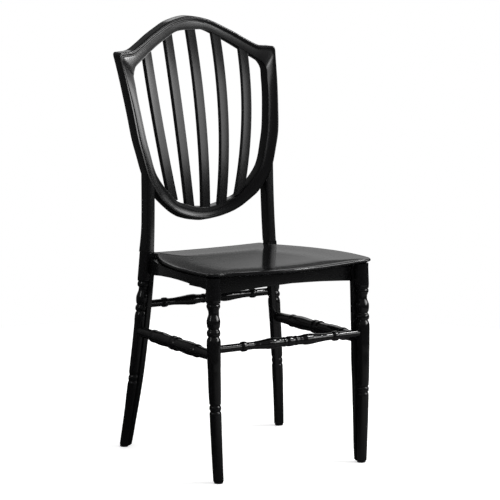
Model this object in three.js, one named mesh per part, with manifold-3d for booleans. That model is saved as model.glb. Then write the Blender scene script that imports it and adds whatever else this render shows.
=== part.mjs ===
// A dining chair with a shield-shaped slatted back, turned legs and a dished seat panel.
// Lengths are in millimetres. +Z is up, the front of the chair faces -Y and X runs across it.
// Plan places are measured from the seat's datum: x = 0 is the centre plane of the chair.
import * as THREE from 'three';
import { mergeVertices } from 'three/addons/utils/BufferGeometryUtils.js';
import Module from 'manifold-3d';

const wasm = await Module();
wasm.setup();

// Clearances
const fitGap = 0.3;
const cutOverrun = 5;

// Seat panel
const seatHeight = 431;
const seatHalfWidth = 204.5;
const seatFrontReach = 190;
const seatRearReach = 187;
const seatFall = 5.8;
const seatCornerRise = 3.2;
const seatRearDip = 3.5;
const lipThickness = 6;
const lipRounding = 1.6;
const seatBearingDepth = 9.5;
const seatBearingInset = 8;
const rimCrownInset = 12;
const rimCrownDrop = 0.6;
const dishRimWidth = 38;
const dishDepth = 6.2;
const trayInset = 45;
const trayDepth = 18;
const trayClearance = 2;

// Front legs: where the axis stands at the datum height, its lean to the floor and its bow
const legDatumRise = 9;
const frontLegInset = 28.2;
const frontLegLeanIn = 3.2;
const frontLegBowX = 4.4;
const frontLegSetback = 34.7;
const frontLegRake = 14;
const frontLegBowY = -1.3;
const frontLegRadius = 14;
const frontLegCornerStep = 4.5;

// Rear legs
const rearLegTopX = 151.6;
const rearLegSplay = 43.7;
const rearLegBowX = -0.5;
const rearLegSetback = 11;
const rearLegRake = 29.3;
const rearLegBowY = -8.2;
const rearLegRadius = 15;
const rearLegCornerStep = 0.3;
const rearLegBelowSeat = 4;

// Foot glides
const glideHeight = 2.6;
const glideRadius = 9.6;
const glideFaceRadius = 8.4;
const glidePinRadius = 2.4;
const glidePinLength = 14;

// Aprons, with the depth of each lower edge under the seat's height
const apronThickness = 14;
const apronRounding = 2;
const frontApronRecess = 10;
const frontApronBow = 26;
const frontApronEndDepth = 46;
const frontApronMidDepth = 33;
const sideApronInset = 14.5;
const sideApronBulge = 21;
const sideApronFrontDepth = 33.5;
const sideApronMidDepth = 27.5;
const sideApronRearDepth = 52;
const rearApronSetback = 9;
const rearApronDepth = 38;

// Corner blocks and their fasteners
const blockNear = 18;
const blockReach = 58;
const blockHeight = 17;
const boltRadius = 3;
const boltDepthInLeg = 16;
const boltHeadRadius = 6;
const boltHeadHeight = 4;
const boltRecess = 3;
const seatScrewRadius = 2.2;
const seatScrewBite = 7;
const seatScrewHeadRadius = 4.2;
const seatScrewHeadHeight = 2.4;

// Stretchers between the legs
const stretcherRadius = 11.5;
const tenonRadius = 6.2;
const tenonLength = 8;
const frontStretcherHeight = 276;
const rearStretcherHeight = 313;
const sideStretcherRadius = 14;
const sideStretcherFrontHeight = 262;
const sideStretcherRearHeight = 255;

// Back posts
const postWidth = 18;
const postDepth = 29.5;
const postNose = 5;
const postLeanIn = 3.9;
const postForward = 1;
const postLeanBack = 4.4;
const postAboveShieldFoot = 117;
const postDowelRadius = 4;
const postDowelReach = 26;
const postDowelFloor = 3;

// Shield back
const chairHeight = 920;
const shieldFootRise = 54;
const shieldFlare = 44.3;
const shieldBehindLeg = 10;
const reclineRise = 15;
const crestRecline = 75.7;
const earDrop = 80;
const lowerBowDrop = 320;
const earBow = 18.4;
const lowerBow = 35.4;
const frameDepth = 29.5;
const frameBeadWidth = 2.2;
const frameCoveWidth = 5.6;
const frameCoveDepth = 1.3;
const frameEdgeDrop = 3;
const frameLedgeWidth = 2.2;
const frameLedgeDrop = 4.2;
const railUndercut = 6;
const shieldDowelRadius = 3;
const shieldDowelInPost = 4.5;
const shieldDowelInFrame = 12;

// Slats
const slatWidth = 17.9;
const slatDepth = 14.5;
const slatCrown = 1.6;
const slatSetback = 1;
const slatBow = 20.3;
const slatTenon = 9;
const innerSlatX = 59.1;
const innerSlatSweep = 23;
const outerSlatX = 118.6;
const outerSlatSweep = 48.5;
const slatSweepDrop = 60;

// Places that follow from the sizes above
const legDatum = seatHeight + legDatumRise;
const frontLegTopX = seatHalfWidth - frontLegInset;
const frontLegCorner = frontLegRadius + frontLegCornerStep;
const rearLegCorner = rearLegRadius + rearLegCornerStep;
const frontLegTopY = frontLegSetback - seatFrontReach;
const rearLegTopY = seatRearReach - rearLegSetback;
const rearLegHeight = seatHeight - rearLegBelowSeat;
const postTopX = rearLegTopX - postLeanIn;
const postBottomY = rearLegTopY - postForward;
const postTopY = postBottomY + postLeanBack;
const shieldFootHeight = seatHeight + shieldFootRise;
const shieldHalfWidth = postTopX + shieldFlare;
const shieldHeight = chairHeight - shieldFootHeight;
const postTopHeight = shieldFootHeight + postAboveShieldFoot;
const shieldFrontY = rearLegTopY + shieldBehindLeg;
const reclineStart = shieldFootHeight + reclineRise;
const earHeight = chairHeight - earDrop;
const lowerBowHeight = chairHeight - lowerBowDrop;

// Colours of the moulded black plastic and of the hardware
const blackPlastic = { color: 0x17181a, roughness: 0.38, metalness: 0 };
const nylon = { color: 0x222224, roughness: 0.6, metalness: 0 };
const zincSteel = { color: 0x9a9da1, roughness: 0.4, metalness: 1 };

// Turned profile of a front leg from the foot up: share of the datum height, share of the radius
const frontTurningShares = [
  [0.016, 0.78], [0.13, 0.807], [0.298, 0.864], [0.327, 0.871], [0.332, 0.785], [0.344, 0.78],
  [0.348, 0.85], [0.356, 0.886], [0.364, 0.85], [0.368, 0.785], [0.377, 0.79], [0.384, 0.864],
  [0.411, 0.907], [0.468, 0.943], [0.58, 1], [0.659, 1.036], [0.667, 1.02], [0.675, 0.92],
  [0.686, 0.85], [0.693, 0.886], [0.7, 0.964], [0.707, 0.986], [0.714, 0.964], [0.723, 0.886],
  [0.734, 0.829], [0.745, 0.92], [0.761, 1.007], [0.775, 0.95], [0.786, 0.836], [0.795, 0.807],
  [0.805, 0.807], [0.814, 0.864], [0.82, 0.943], [0.83, 1], [0.839, 0.943], [0.845, 0.943],
  [0.85, 1],
];
// The same for a rear leg
const rearTurningShares = [
  [0.016, 0.727], [0.141, 0.747], [0.268, 0.813], [0.316, 0.813], [0.327, 0.735], [0.336, 0.727],
  [0.342, 0.77], [0.35, 0.803], [0.358, 0.77], [0.364, 0.725], [0.375, 0.733], [0.382, 0.8],
  [0.398, 0.833], [0.436, 0.847], [0.618, 0.873], [0.65, 0.9], [0.664, 0.887], [0.673, 0.8],
  [0.68, 0.753], [0.686, 0.8], [0.692, 0.9], [0.699, 0.933], [0.706, 0.9], [0.713, 0.807],
  [0.718, 0.78], [0.732, 0.86], [0.75, 0.947], [0.768, 0.86], [0.782, 0.727], [0.791, 0.687],
  [0.798, 0.7], [0.803, 0.84], [0.815, 0.94], [0.826, 0.84], [0.832, 0.84], [0.839, 0.967],
  [0.852, 1],
];
const footRimShare = 0.7;
// Reach of the legs' square inner corner: share of the datum height, share of the full reach
const frontCornerShares = [[0, 0.63], [0.2, 0.79], [0.377, 0.9], [0.523, 0.98], [0.83, 1], [1, 1]];
const rearCornerShares = [
  [0, 0.76], [0.134, 0.84], [0.255, 0.9], [0.375, 0.96], [0.66, 0.987], [0.8, 1], [1, 1],
];
// The corner stands clear of the round from this share of its reach on
const cornerStartShare = 0.28;
const arcSteps = 9;

// Seat outline from the front middle: share of the half width, share of the depth
const seatOutlineShares = [
  [0, 0], [0.245, 0.007], [0.489, 0.025], [0.733, 0.043], [0.87, 0.045], [0.935, 0.055],
  [0.972, 0.086], [0.99, 0.133], [1, 0.239], [1, 0.319], [0.985, 0.412], [0.954, 0.505],
  [0.907, 0.612], [0.841, 0.718], [0.763, 0.819], [0.709, 0.883],
];
const seatRearCornerShare = 0.975;
const dishMiddleShare = 0.45;

// Turned profile of the front and rear stretchers from the middle out:
// share of the half length between the legs, share of the largest radius
const stretcherShares = [
  [0, 0.93], [0.04, 0.9], [0.062, 0.8], [0.08, 0.878], [0.1, 0.86], [0.118, 0.8], [0.155, 0.8],
  [0.2, 0.9], [0.235, 0.99], [0.26, 0.99], [0.32, 0.965], [0.37, 0.87], [0.44, 0.765],
  [0.52, 0.68], [0.605, 0.678], [0.63, 0.74], [0.655, 0.895], [0.69, 0.913], [0.72, 0.895],
  [0.74, 0.71], [0.775, 0.695],
];
// The same for a side stretcher
const sideStretcherShares = [
  [0, 0.9], [0.025, 0.93], [0.055, 0.99], [0.085, 0.9], [0.105, 0.84], [0.14, 0.835],
  [0.22, 0.865], [0.32, 0.925], [0.42, 0.935], [0.5, 0.9], [0.56, 0.87], [0.585, 0.9],
  [0.62, 0.921], [0.655, 0.9], [0.68, 0.83], [0.76, 0.77], [0.86, 0.735],
];
const stretcherEndShare = 0.695;
const sideStretcherEndShare = 0.73;

// Shield outline from the crest's middle down to the foot's middle: share of the half width and
// share of the height, first on the outer edge and then at the matching place on the inner edge
const shieldShares = [
  [0, 1, 0, 0.933], [0.125, 0.993, 0.115, 0.932], [0.271, 0.975, 0.214, 0.924],
  [0.411, 0.945, 0.344, 0.895], [0.547, 0.913, 0.479, 0.862], [0.677, 0.878, 0.625, 0.821],
  [0.8125, 0.847, 0.75, 0.785], [0.93, 0.841, 0.807, 0.768], [0.99, 0.84, 0.832, 0.752],
  [1, 0.832, 0.844, 0.738], [0.992, 0.79, 0.851, 0.72], [0.979, 0.733, 0.842, 0.675],
  [0.961, 0.65, 0.833, 0.62], [0.935, 0.54, 0.813, 0.545], [0.905, 0.425, 0.779, 0.435],
  [0.859, 0.338, 0.742, 0.359], [0.81, 0.257, 0.701, 0.285], [0.755, 0.202, 0.651, 0.234],
  [0.641, 0.129, 0.557, 0.177], [0.568, 0.099, 0.484, 0.143], [0.495, 0.074, 0.417, 0.113],
  [0.427, 0.053, 0.365, 0.099], [0.333, 0.032, 0.302, 0.089], [0.208, 0.014, 0.177, 0.071],
  [0.104, 0.005, 0.089, 0.063], [0, 0, 0, 0.06],
];
const undercutFadeShare = 0.64;
const shieldStepsPerPoint = 2;

// Places along a table of pairs, straight between them
function alongShares(table, share) {
  const next = table.findIndex((row) => row[0] >= share);
  if (next <= 0) {
    return table[next < 0 ? table.length - 1 : 0][1];
  }
  const [fromShare, fromValue] = table[next - 1];
  const [toShare, toValue] = table[next];
  return fromValue + (toValue - fromValue) * (share - fromShare) / (toShare - fromShare);
}

// Middle of three: the start, the end and the bow at half way
function bowedLine(start, end, bow, t) {
  return start + (end - start) * t + bow * 4 * t * (1 - t);
}

// Signed volume tells whether the faces point out
function signedVolume(points, faces) {
  let sum = 0;
  const cross = new THREE.Vector3();
  for (const [a, b, c] of faces) {
    sum += cross.crossVectors(points[b], points[c]).dot(points[a]);
  }
  return sum;
}

function solidGeometry(points, faces) {
  const outward = signedVolume(points, faces) > 0;
  const index = [];
  for (const [a, b, c] of faces) {
    index.push(a, outward ? b : c, outward ? c : b);
  }
  const numbers = points.flatMap((point) => point.toArray());
  const geometry = new THREE.BufferGeometry();
  geometry.setAttribute('position', new THREE.Float32BufferAttribute(numbers, 3));
  geometry.setIndex(index);
  return geometry;
}

// Fills a ring of points seen along its own average normal
function ringFill(ring) {
  const normal = new THREE.Vector3();
  const turn = new THREE.Vector3();
  ring.forEach((point, i) => normal.add(turn.crossVectors(point, ring[(i + 1) % ring.length])));
  normal.normalize();
  const across = new THREE.Vector3().subVectors(ring[1], ring[0]).normalize();
  const up = new THREE.Vector3().crossVectors(normal, across);
  const flat = ring.map((point) => new THREE.Vector2(point.dot(across), point.dot(up)));
  return THREE.ShapeUtils.triangulateShape(flat, []);
}

// Skins a row of rings that all have the same number of points, with filled ends or as a loop
function loft(rings, isLoop = false) {
  const count = rings[0].length;
  const points = rings.flat();
  const faces = [];
  const spans = isLoop ? rings.length : rings.length - 1;
  for (let r = 0; r < spans; r += 1) {
    const here = r * count;
    const there = ((r + 1) % rings.length) * count;
    for (let i = 0; i < count; i += 1) {
      const j = (i + 1) % count;
      faces.push([here + i, here + j, there + j], [here + i, there + j, there + i]);
    }
  }
  if (!isLoop) {
    const last = (rings.length - 1) * count;
    ringFill(rings[0]).forEach(([a, b, c]) => faces.push([a, c, b]));
    ringFill(rings[rings.length - 1]).forEach(([a, b, c]) => faces.push([last + a, last + b, last + c]));
  }
  return solidGeometry(points, faces);
}

// Turned piece: profile of [distance along the axis, radius] pairs about a line between two points
function turned(profile, from, to, sides) {
  const line = new THREE.Vector3().subVectors(to, from);
  const outline = [new THREE.Vector2(0, profile[0][0])];
  profile.forEach(([along, radius]) => outline.push(new THREE.Vector2(radius, along)));
  outline.push(new THREE.Vector2(0, profile[profile.length - 1][0]));
  const lathe = new THREE.LatheGeometry(outline, sides);
  const aim = new THREE.Quaternion().setFromUnitVectors(new THREE.Vector3(0, 1, 0), line.normalize());
  return lathe.applyQuaternion(aim).translate(from.x, from.y, from.z);
}

// Closed surfaces to solids and back, for cuts. Points closer than a small share of the clearance
// are one point.
const mergeShare = 0.001;

function toSolid(geometry) {
  const bare = geometry.clone();
  bare.deleteAttribute('normal');
  bare.deleteAttribute('uv');
  const merged = mergeVertices(bare, fitGap * mergeShare);
  const vertProperties = new Float32Array(merged.attributes.position.array);
  const corners = Array.from(merged.index.array);
  const kept = [];
  for (let i = 0; i < corners.length; i += 3) {
    const [a, b, c] = corners.slice(i, i + 3);
    if (a !== b && b !== c && c !== a) {
      kept.push(a, b, c);
    }
  }
  const triVerts = new Uint32Array(kept);
  return new wasm.Manifold(new wasm.Mesh({ numProp: 3, vertProperties, triVerts }));
}

function toGeometry(solid) {
  const mesh = solid.getMesh();
  const geometry = new THREE.BufferGeometry();
  geometry.setAttribute('position', new THREE.BufferAttribute(new Float32Array(mesh.vertProperties), 3));
  geometry.setIndex(Array.from(mesh.triVerts));
  return geometry;
}

function cut(geometry, cutters) {
  let solid = toSolid(geometry);
  for (const cutter of cutters) {
    solid = solid.subtract(toSolid(cutter));
  }
  return toGeometry(solid);
}

// Prism over a plan outline, with its bottom and top heights given by functions of the place
function prism(outline, bottomAt, topAt) {
  const bottom = outline.map(([x, y]) => new THREE.Vector3(x, y, bottomAt(x, y)));
  const top = outline.map(([x, y]) => new THREE.Vector3(x, y, topAt(x, y)));
  return loft([bottom, top]);
}

// Seat surfaces
const seatDepth = seatFrontReach + seatRearReach;
const seatMiddleY = (seatRearReach - seatFrontReach) / 2;

function lipTopAt(x, y) {
  const back = (y + seatFrontReach) / seatDepth;
  const across = (x / seatHalfWidth) ** 2;
  return seatHeight - seatFall * back + seatCornerRise * across * (1 - back)
    - seatRearDip * (1 - across) * back * back;
}

// The face of the panel that rests on the legs and aprons
function bearingAt(x, y) {
  return lipTopAt(x, y) - seatBearingDepth;
}

function trayUnderAt(x, y) {
  return lipTopAt(x, y) - trayDepth;
}

// Legs
const frontLeg = {
  top: [frontLegTopX, frontLegTopY],
  foot: [frontLegTopX - frontLegLeanIn, frontLegTopY - frontLegRake],
  bow: [frontLegBowX, frontLegBowY],
  radius: frontLegRadius,
  corner: frontLegCorner,
  turning: frontTurningShares,
  corners: frontCornerShares,
  inwardY: 1,
  topAt: (x, y) => bearingAt(x, y) - fitGap,
};
const rearLeg = {
  top: [rearLegTopX, rearLegTopY],
  foot: [rearLegTopX + rearLegSplay, rearLegTopY + rearLegRake],
  bow: [rearLegBowX, rearLegBowY],
  radius: rearLegRadius,
  corner: rearLegCorner,
  turning: rearTurningShares,
  corners: rearCornerShares,
  inwardY: -1,
  topAt: () => rearLegHeight,
};

function legAxis(leg, side, z) {
  const t = 1 - z / legDatum;
  const x = bowedLine(leg.top[0], leg.foot[0], leg.bow[0], t);
  return new THREE.Vector3(side * x, bowedLine(leg.top[1], leg.foot[1], leg.bow[1], t), z);
}

// One level of a leg: most of a circle, and a square corner towards the chair's middle
function legRing(leg, side, z, radius, corner, growth = 0) {
  const axis = legAxis(leg, side, z);
  const start = corner * cornerStartShare - growth;
  const flat = [[corner, start], [corner, corner], [start, corner]];
  const overlap = Math.asin(start / radius);
  for (let i = 0; i <= arcSteps; i += 1) {
    const angle = Math.PI / 2 - overlap + (i / arcSteps) * (Math.PI * 1.5 + 2 * overlap);
    flat.push([radius * Math.cos(angle), radius * Math.sin(angle)]);
  }
  return flat.map(([inX, inY]) => new THREE.Vector3(axis.x - side * inX, axis.y + leg.inwardY * inY, z));
}

function legCorner(leg, z) {
  return leg.corner * alongShares(leg.corners, z / legDatum);
}

function legBody(leg, side) {
  const footZ = glideHeight + fitGap;
  const rings = [legRing(leg, side, footZ, leg.radius * footRimShare, legCorner(leg, footZ))];
  for (const [heightShare, radiusShare] of leg.turning) {
    const z = heightShare * legDatum;
    rings.push(legRing(leg, side, z, radiusShare * leg.radius, legCorner(leg, z)));
  }
  const top = legRing(leg, side, rearLegHeight, leg.radius, leg.corner);
  top.forEach((point) => { point.z = leg.topAt(point.x, point.y); });
  rings.push(top);
  return loft(rings);
}

// The upper block of a leg, grown by the clearance, as the cutter for what is fitted round it
function legBlockCutter(leg, side) {
  const radius = leg.radius + fitGap;
  const corner = leg.corner + fitGap;
  const low = seatHeight - Math.max(frontApronEndDepth, sideApronRearDepth) - 2 * cutOverrun;
  const levels = [low, (low + rearLegHeight) / 2, legDatum + cutOverrun];
  return loft(levels.map((z) => legRing(leg, side, z, radius, corner, fitGap)));
}

// Stretchers: the half profile is mirrored, and a plain tenon enters each leg
function stretcherProfile(shares, endShare, radius, length) {
  const half = length / 2;
  const out = shares.map(([place, size]) => [place * half, size * radius]);
  const shoulder = [half, endShare * radius];
  const tenon = [[half, tenonRadius], [half + tenonLength, tenonRadius]];
  const right = [...out, shoulder, ...tenon];
  const left = right.slice(1).reverse().map(([place, size]) => [-place, size]);
  return [...left, ...right].map(([place, size]) => [place + half, size]);
}

// Line of a stretcher between two leg axes, drawn in to the legs' faces
function stretcherLine(fromAxis, toAxis, fromFace, toFace) {
  const along = new THREE.Vector3().subVectors(toAxis, fromAxis).normalize();
  return [
    fromAxis.clone().addScaledVector(along, fromFace),
    toAxis.clone().addScaledVector(along, -toFace),
  ];
}

const stretcherSides = 10;
const stretcherPlaces = {
  front_stretcher: {
    line: stretcherLine(
      legAxis(frontLeg, -1, frontStretcherHeight), legAxis(frontLeg, 1, frontStretcherHeight),
      frontLegCorner + fitGap, frontLegCorner + fitGap),
    shares: stretcherShares,
    endShare: stretcherEndShare,
    radius: stretcherRadius,
  },
  rear_stretcher: {
    line: stretcherLine(
      legAxis(rearLeg, -1, rearStretcherHeight), legAxis(rearLeg, 1, rearStretcherHeight),
      rearLegCorner + fitGap, rearLegCorner + fitGap),
    shares: stretcherShares,
    endShare: stretcherEndShare,
    radius: stretcherRadius,
  },
};
for (const [name, side] of [['side_stretcher_left', -1], ['side_stretcher_right', 1]]) {
  stretcherPlaces[name] = {
    line: stretcherLine(
      legAxis(frontLeg, side, sideStretcherFrontHeight), legAxis(rearLeg, side, sideStretcherRearHeight),
      frontLegCorner + fitGap, rearLegCorner + fitGap),
    shares: sideStretcherShares,
    endShare: sideStretcherEndShare,
    radius: sideStretcherRadius,
  };
}

function stretcherBody({ line: [from, to], shares, endShare, radius }) {
  const profile = stretcherProfile(shares, endShare, radius, from.distanceTo(to));
  return turned(profile, from, to, stretcherSides);
}

// Socket for one end of a stretcher: its tenon and shoulder, grown by the clearance
function socketCutter({ line: [from, to], endShare, radius }, atStart) {
  const along = new THREE.Vector3().subVectors(to, from).normalize();
  const shoulder = endShare * radius + fitGap;
  const tenon = tenonRadius + fitGap;
  const end = tenonLength + fitGap;
  const profile = atStart
    ? [[-end, tenon], [-fitGap, tenon], [-fitGap, shoulder], [2 * cutOverrun, shoulder]]
    : [[-2 * cutOverrun, shoulder], [fitGap, shoulder], [fitGap, tenon], [end, tenon]];
  const face = atStart ? from : to;
  return turned(profile, face, face.clone().add(along), stretcherSides);
}

// Foot glide: a rounded disc with a pin up the leg
function glideBody(leg, side) {
  const foot = legAxis(leg, side, 0);
  const pinTop = foot.clone();
  pinTop.z += glideHeight + glidePinLength;
  const profile = [
    [0, glideFaceRadius], [(glideRadius - glideFaceRadius), glideRadius], [glideHeight, glideRadius],
    [glideHeight, glidePinRadius], [glideHeight + glidePinLength, glidePinRadius],
  ];
  return turned(profile, foot, pinTop, stretcherSides);
}

function glideSocket(leg, side) {
  const from = legAxis(leg, side, 0);
  const to = from.clone();
  to.z = legDatum;
  const radius = glidePinRadius + fitGap;
  return turned([[0, radius], [glideHeight + glidePinLength + fitGap, radius]], from, to, stretcherSides);
}

// Aprons: a rounded bar that follows a line in plan, under the seat's lip
function apronSection(outer, inward, bottom, thickness) {
  const places = [
    [0, bottom + apronRounding], [apronRounding, bottom],
    [thickness - apronRounding, bottom], [thickness, bottom + apronRounding],
  ];
  const planAt = (depth) => outer.clone().addScaledVector(inward, depth);
  const under = places.map(([depth, z]) => new THREE.Vector3(planAt(depth).x, planAt(depth).y, z));
  const over = [thickness, 0].map(planAt);
  return [...under, ...over.map(({ x, y }) => new THREE.Vector3(x, y, bearingAt(x, y) - fitGap))];
}

const apronStops = 10;
const frontApronEndX = frontLegTopX - frontLegCorner + cutOverrun;
const frontApronEndY = frontLegTopY + frontApronRecess;
// Rise of the front apron's lower edge from its ends to its middle
const frontApronRiseShares = [[0, 1], [0.27, 0.88], [0.46, 0.73], [0.66, 0.5], [0.88, 0.2], [1, 0]];

function frontApronOuter(share) {
  return new THREE.Vector2(share * frontApronEndX, frontApronEndY - frontApronBow * (1 - share * share));
}

function frontApronBody(extra = 0) {
  const inward = new THREE.Vector2(0, 1);
  const rings = [];
  for (let i = 0; i <= apronStops; i += 1) {
    const share = (2 * i) / apronStops - 1;
    const outer = frontApronOuter(share).addScaledVector(inward, -extra);
    const rise = alongShares(frontApronRiseShares, Math.abs(share));
    const depth = frontApronEndDepth - (frontApronEndDepth - frontApronMidDepth) * rise;
    rings.push(apronSection(outer, inward, seatHeight - depth - extra, apronThickness + 2 * extra));
  }
  return loft(rings);
}

const sideApronFrontY = frontLegTopY + frontLegCorner - cutOverrun;
const sideApronRearY = rearLegTopY - rearLegCorner + cutOverrun;
// Outward swell and bottom edge of a side apron: share of the run from the front, share of the change
const sideApronSwellShares = [
  [0, 0], [0.1, 0.42], [0.25, 0.86], [0.4, 1], [0.55, 0.97], [0.7, 0.75], [0.85, 0.33], [1, 0],
];
const sideApronRiseShares = [[0, 0], [0.08, 0.57], [0.15, 0.8], [0.23, 1], [1, 1]];
const sideApronDropShares = [
  [0, 0], [0.3, 0], [0.41, 0.06], [0.52, 0.17], [0.66, 0.36], [0.75, 0.53], [0.86, 0.76], [1, 1],
];

function sideApronOuter(side, share) {
  const frontX = seatHalfWidth - sideApronInset;
  const chord = frontX + (rearLegTopX - frontX) * share;
  const x = chord + sideApronBulge * alongShares(sideApronSwellShares, share);
  return new THREE.Vector2(side * x, sideApronFrontY + (sideApronRearY - sideApronFrontY) * share);
}

function sideApronBottom(share) {
  const rise = (sideApronFrontDepth - sideApronMidDepth) * alongShares(sideApronRiseShares, share);
  const drop = (sideApronRearDepth - sideApronMidDepth) * alongShares(sideApronDropShares, share);
  return seatHeight - sideApronFrontDepth + rise - drop;
}

function sideApronBody(side, extra = 0) {
  const inward = new THREE.Vector2(-side, 0);
  const rings = [];
  for (let i = 0; i <= apronStops; i += 1) {
    const share = i / apronStops;
    const outer = sideApronOuter(side, share).addScaledVector(inward, -extra);
    rings.push(apronSection(outer, inward, sideApronBottom(share) - extra, apronThickness + 2 * extra));
  }
  return loft(rings);
}

const rearApronOuterY = rearLegTopY + rearApronSetback;
const rearApronEndX = rearLegTopX - rearLegCorner + cutOverrun;

function rearApronBody(extra = 0) {
  const inward = new THREE.Vector2(0, -1);
  const bottom = seatHeight - rearApronDepth - extra;
  const rings = [];
  for (let i = 0; i <= apronStops; i += 1) {
    const share = (2 * i) / apronStops - 1;
    const outer = new THREE.Vector2(share * rearApronEndX, rearApronOuterY + extra);
    rings.push(apronSection(outer, inward, bottom, apronThickness + 2 * extra));
  }
  return loft(rings);
}

// Corner blocks: each bears on the inner faces of two aprons and leaves a gap at the leg
function acrossInnerY(isFront, x) {
  return isFront
    ? frontApronOuter(x / frontApronEndX).y + apronThickness
    : rearApronOuterY - apronThickness;
}

function sideInnerX(y) {
  const share = (y - sideApronFrontY) / (sideApronRearY - sideApronFrontY);
  return sideApronOuter(1, share).x - apronThickness;
}

function cornerLayout(leg, side) {
  const isFront = leg === frontLeg;
  const cornerY = acrossInnerY(isFront, frontLegTopX);
  const cornerX = sideInnerX(cornerY);
  const reaches = [blockNear, (blockNear + blockReach) / 2, blockReach];
  const across = reaches.map((reach) => {
    const x = cornerX - reach;
    return [side * x, acrossInnerY(isFront, x)];
  });
  const along = reaches.map((reach) => {
    const y = cornerY + leg.inwardY * reach;
    return [side * sideInnerX(y), y];
  });
  return { across, along };
}

function blockTopAt(x, y) {
  return trayUnderAt(x, y) - fitGap;
}

function cornerBlockBody(leg, side) {
  const { across, along } = cornerLayout(leg, side);
  const outline = [...across, ...along.reverse()];
  return prism(outline, (x, y) => blockTopAt(x, y) - blockHeight, blockTopAt);
}

// Line of a corner bolt: level, from the block's open face to the leg's axis
function boltLine(leg, side) {
  const { across, along } = cornerLayout(leg, side);
  const [wallEnd, sideEnd] = [across[2], along[2]];
  const face = new THREE.Vector3((wallEnd[0] + sideEnd[0]) / 2, (wallEnd[1] + sideEnd[1]) / 2, 0);
  face.z = blockTopAt(face.x, face.y) - blockHeight / 2;
  const axis = legAxis(leg, side, face.z);
  const inward = new THREE.Vector3().subVectors(axis, face).normalize();
  return { face, inward, run: face.distanceTo(axis) };
}

function boltBody(leg, side) {
  const { face, inward, run } = boltLine(leg, side);
  const start = face.clone().addScaledVector(inward, boltRecess - boltHeadHeight);
  const end = run - leg.corner + boltDepthInLeg + boltHeadHeight - boltRecess;
  const profile = [
    [0, boltHeadRadius], [boltHeadHeight, boltHeadRadius], [boltHeadHeight, boltRadius], [end, boltRadius],
  ];
  return turned(profile, start, start.clone().add(inward), stretcherSides);
}

// Cutter for a bolt: a counterbore in the block's open face, and the bore on into the leg
function boltHole(leg, side) {
  const { face, inward, run } = boltLine(leg, side);
  const start = face.clone().addScaledVector(inward, -2 * cutOverrun);
  const seat = 2 * cutOverrun + boltRecess + fitGap;
  const end = run - leg.corner + boltDepthInLeg + 2 * cutOverrun + fitGap;
  const wide = boltHeadRadius + fitGap;
  const radius = boltRadius + fitGap;
  const profile = [[0, wide], [seat, wide], [seat, radius], [end, radius]];
  return turned(profile, start, start.clone().add(inward), stretcherSides);
}

// Seat screws stand beside the bolts and run up through the block into the seat's tray
function seatScrewPlace(leg, side) {
  const { across: [, middle, end] } = cornerLayout(leg, side);
  const { face } = boltLine(leg, side);
  const x = (middle[0] + end[0] + face.x) / 3;
  const y = (middle[1] + end[1] + face.y) / 3;
  return new THREE.Vector3(x, y, blockTopAt(x, y));
}

function seatScrewBody(leg, side) {
  const top = seatScrewPlace(leg, side);
  const headZ = top.z - blockHeight - 2 * fitGap;
  const start = new THREE.Vector3(top.x, top.y, headZ - seatScrewHeadHeight);
  const length = top.z + seatScrewBite - start.z;
  const profile = [
    [0, seatScrewHeadRadius], [seatScrewHeadHeight, seatScrewHeadRadius],
    [seatScrewHeadHeight, seatScrewRadius], [length, seatScrewRadius],
  ];
  return turned(profile, start, top, stretcherSides);
}

function seatScrewHole(leg, side) {
  const top = seatScrewPlace(leg, side);
  const start = new THREE.Vector3(top.x, top.y, top.z - blockHeight - cutOverrun);
  const length = blockHeight + cutOverrun + seatScrewBite + fitGap;
  const radius = seatScrewRadius + fitGap;
  return turned([[0, radius], [length, radius]], start, top, stretcherSides);
}

// Seat panel
function seatHalfOutline() {
  const points = seatOutlineShares.map(([across, back]) => (
    [across * seatHalfWidth, back * seatDepth - seatFrontReach]));
  const legFace = legAxis(rearLeg, 1, rearLegHeight);
  const besideLeg = legFace.x - rearLegCorner - 2 * fitGap;
  const beforeLeg = legFace.y - rearLegCorner - 2 * fitGap;
  points.push([besideLeg + lipRounding, beforeLeg - lipThickness]);
  points.push([besideLeg, beforeLeg]);
  points.push([besideLeg, seatRearReach - lipThickness]);
  points.push([besideLeg * seatRearCornerShare, seatRearReach - fitGap]);
  points.push([besideLeg / 2, seatRearReach]);
  points.push([0, seatRearReach]);
  return points;
}

function wholeOutline(half) {
  const mirrored = half.slice(1, -1).reverse().map(([x, y]) => [-x, y]);
  return [...half, ...mirrored];
}

function seatRing(outline, inset, heightAt) {
  const scale = 1 - inset / seatHalfWidth;
  return outline.map(([x, y]) => {
    const px = x * scale;
    const py = seatMiddleY + (y - seatMiddleY) * scale;
    return new THREE.Vector3(px, py, heightAt(px, py));
  });
}

// The tray under the panel keeps its clearance inside the aprons
function trayRing(outline, heightAt) {
  return seatRing(outline, trayInset, heightAt).map((point) => {
    const front = acrossInnerY(true, point.x) + trayClearance;
    const y = Math.max(point.y, front);
    const side = sideInnerX(y) - trayClearance;
    const x = Math.sign(point.x) * Math.min(Math.abs(point.x), side);
    return new THREE.Vector3(x, y, heightAt(x, y));
  });
}

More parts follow.
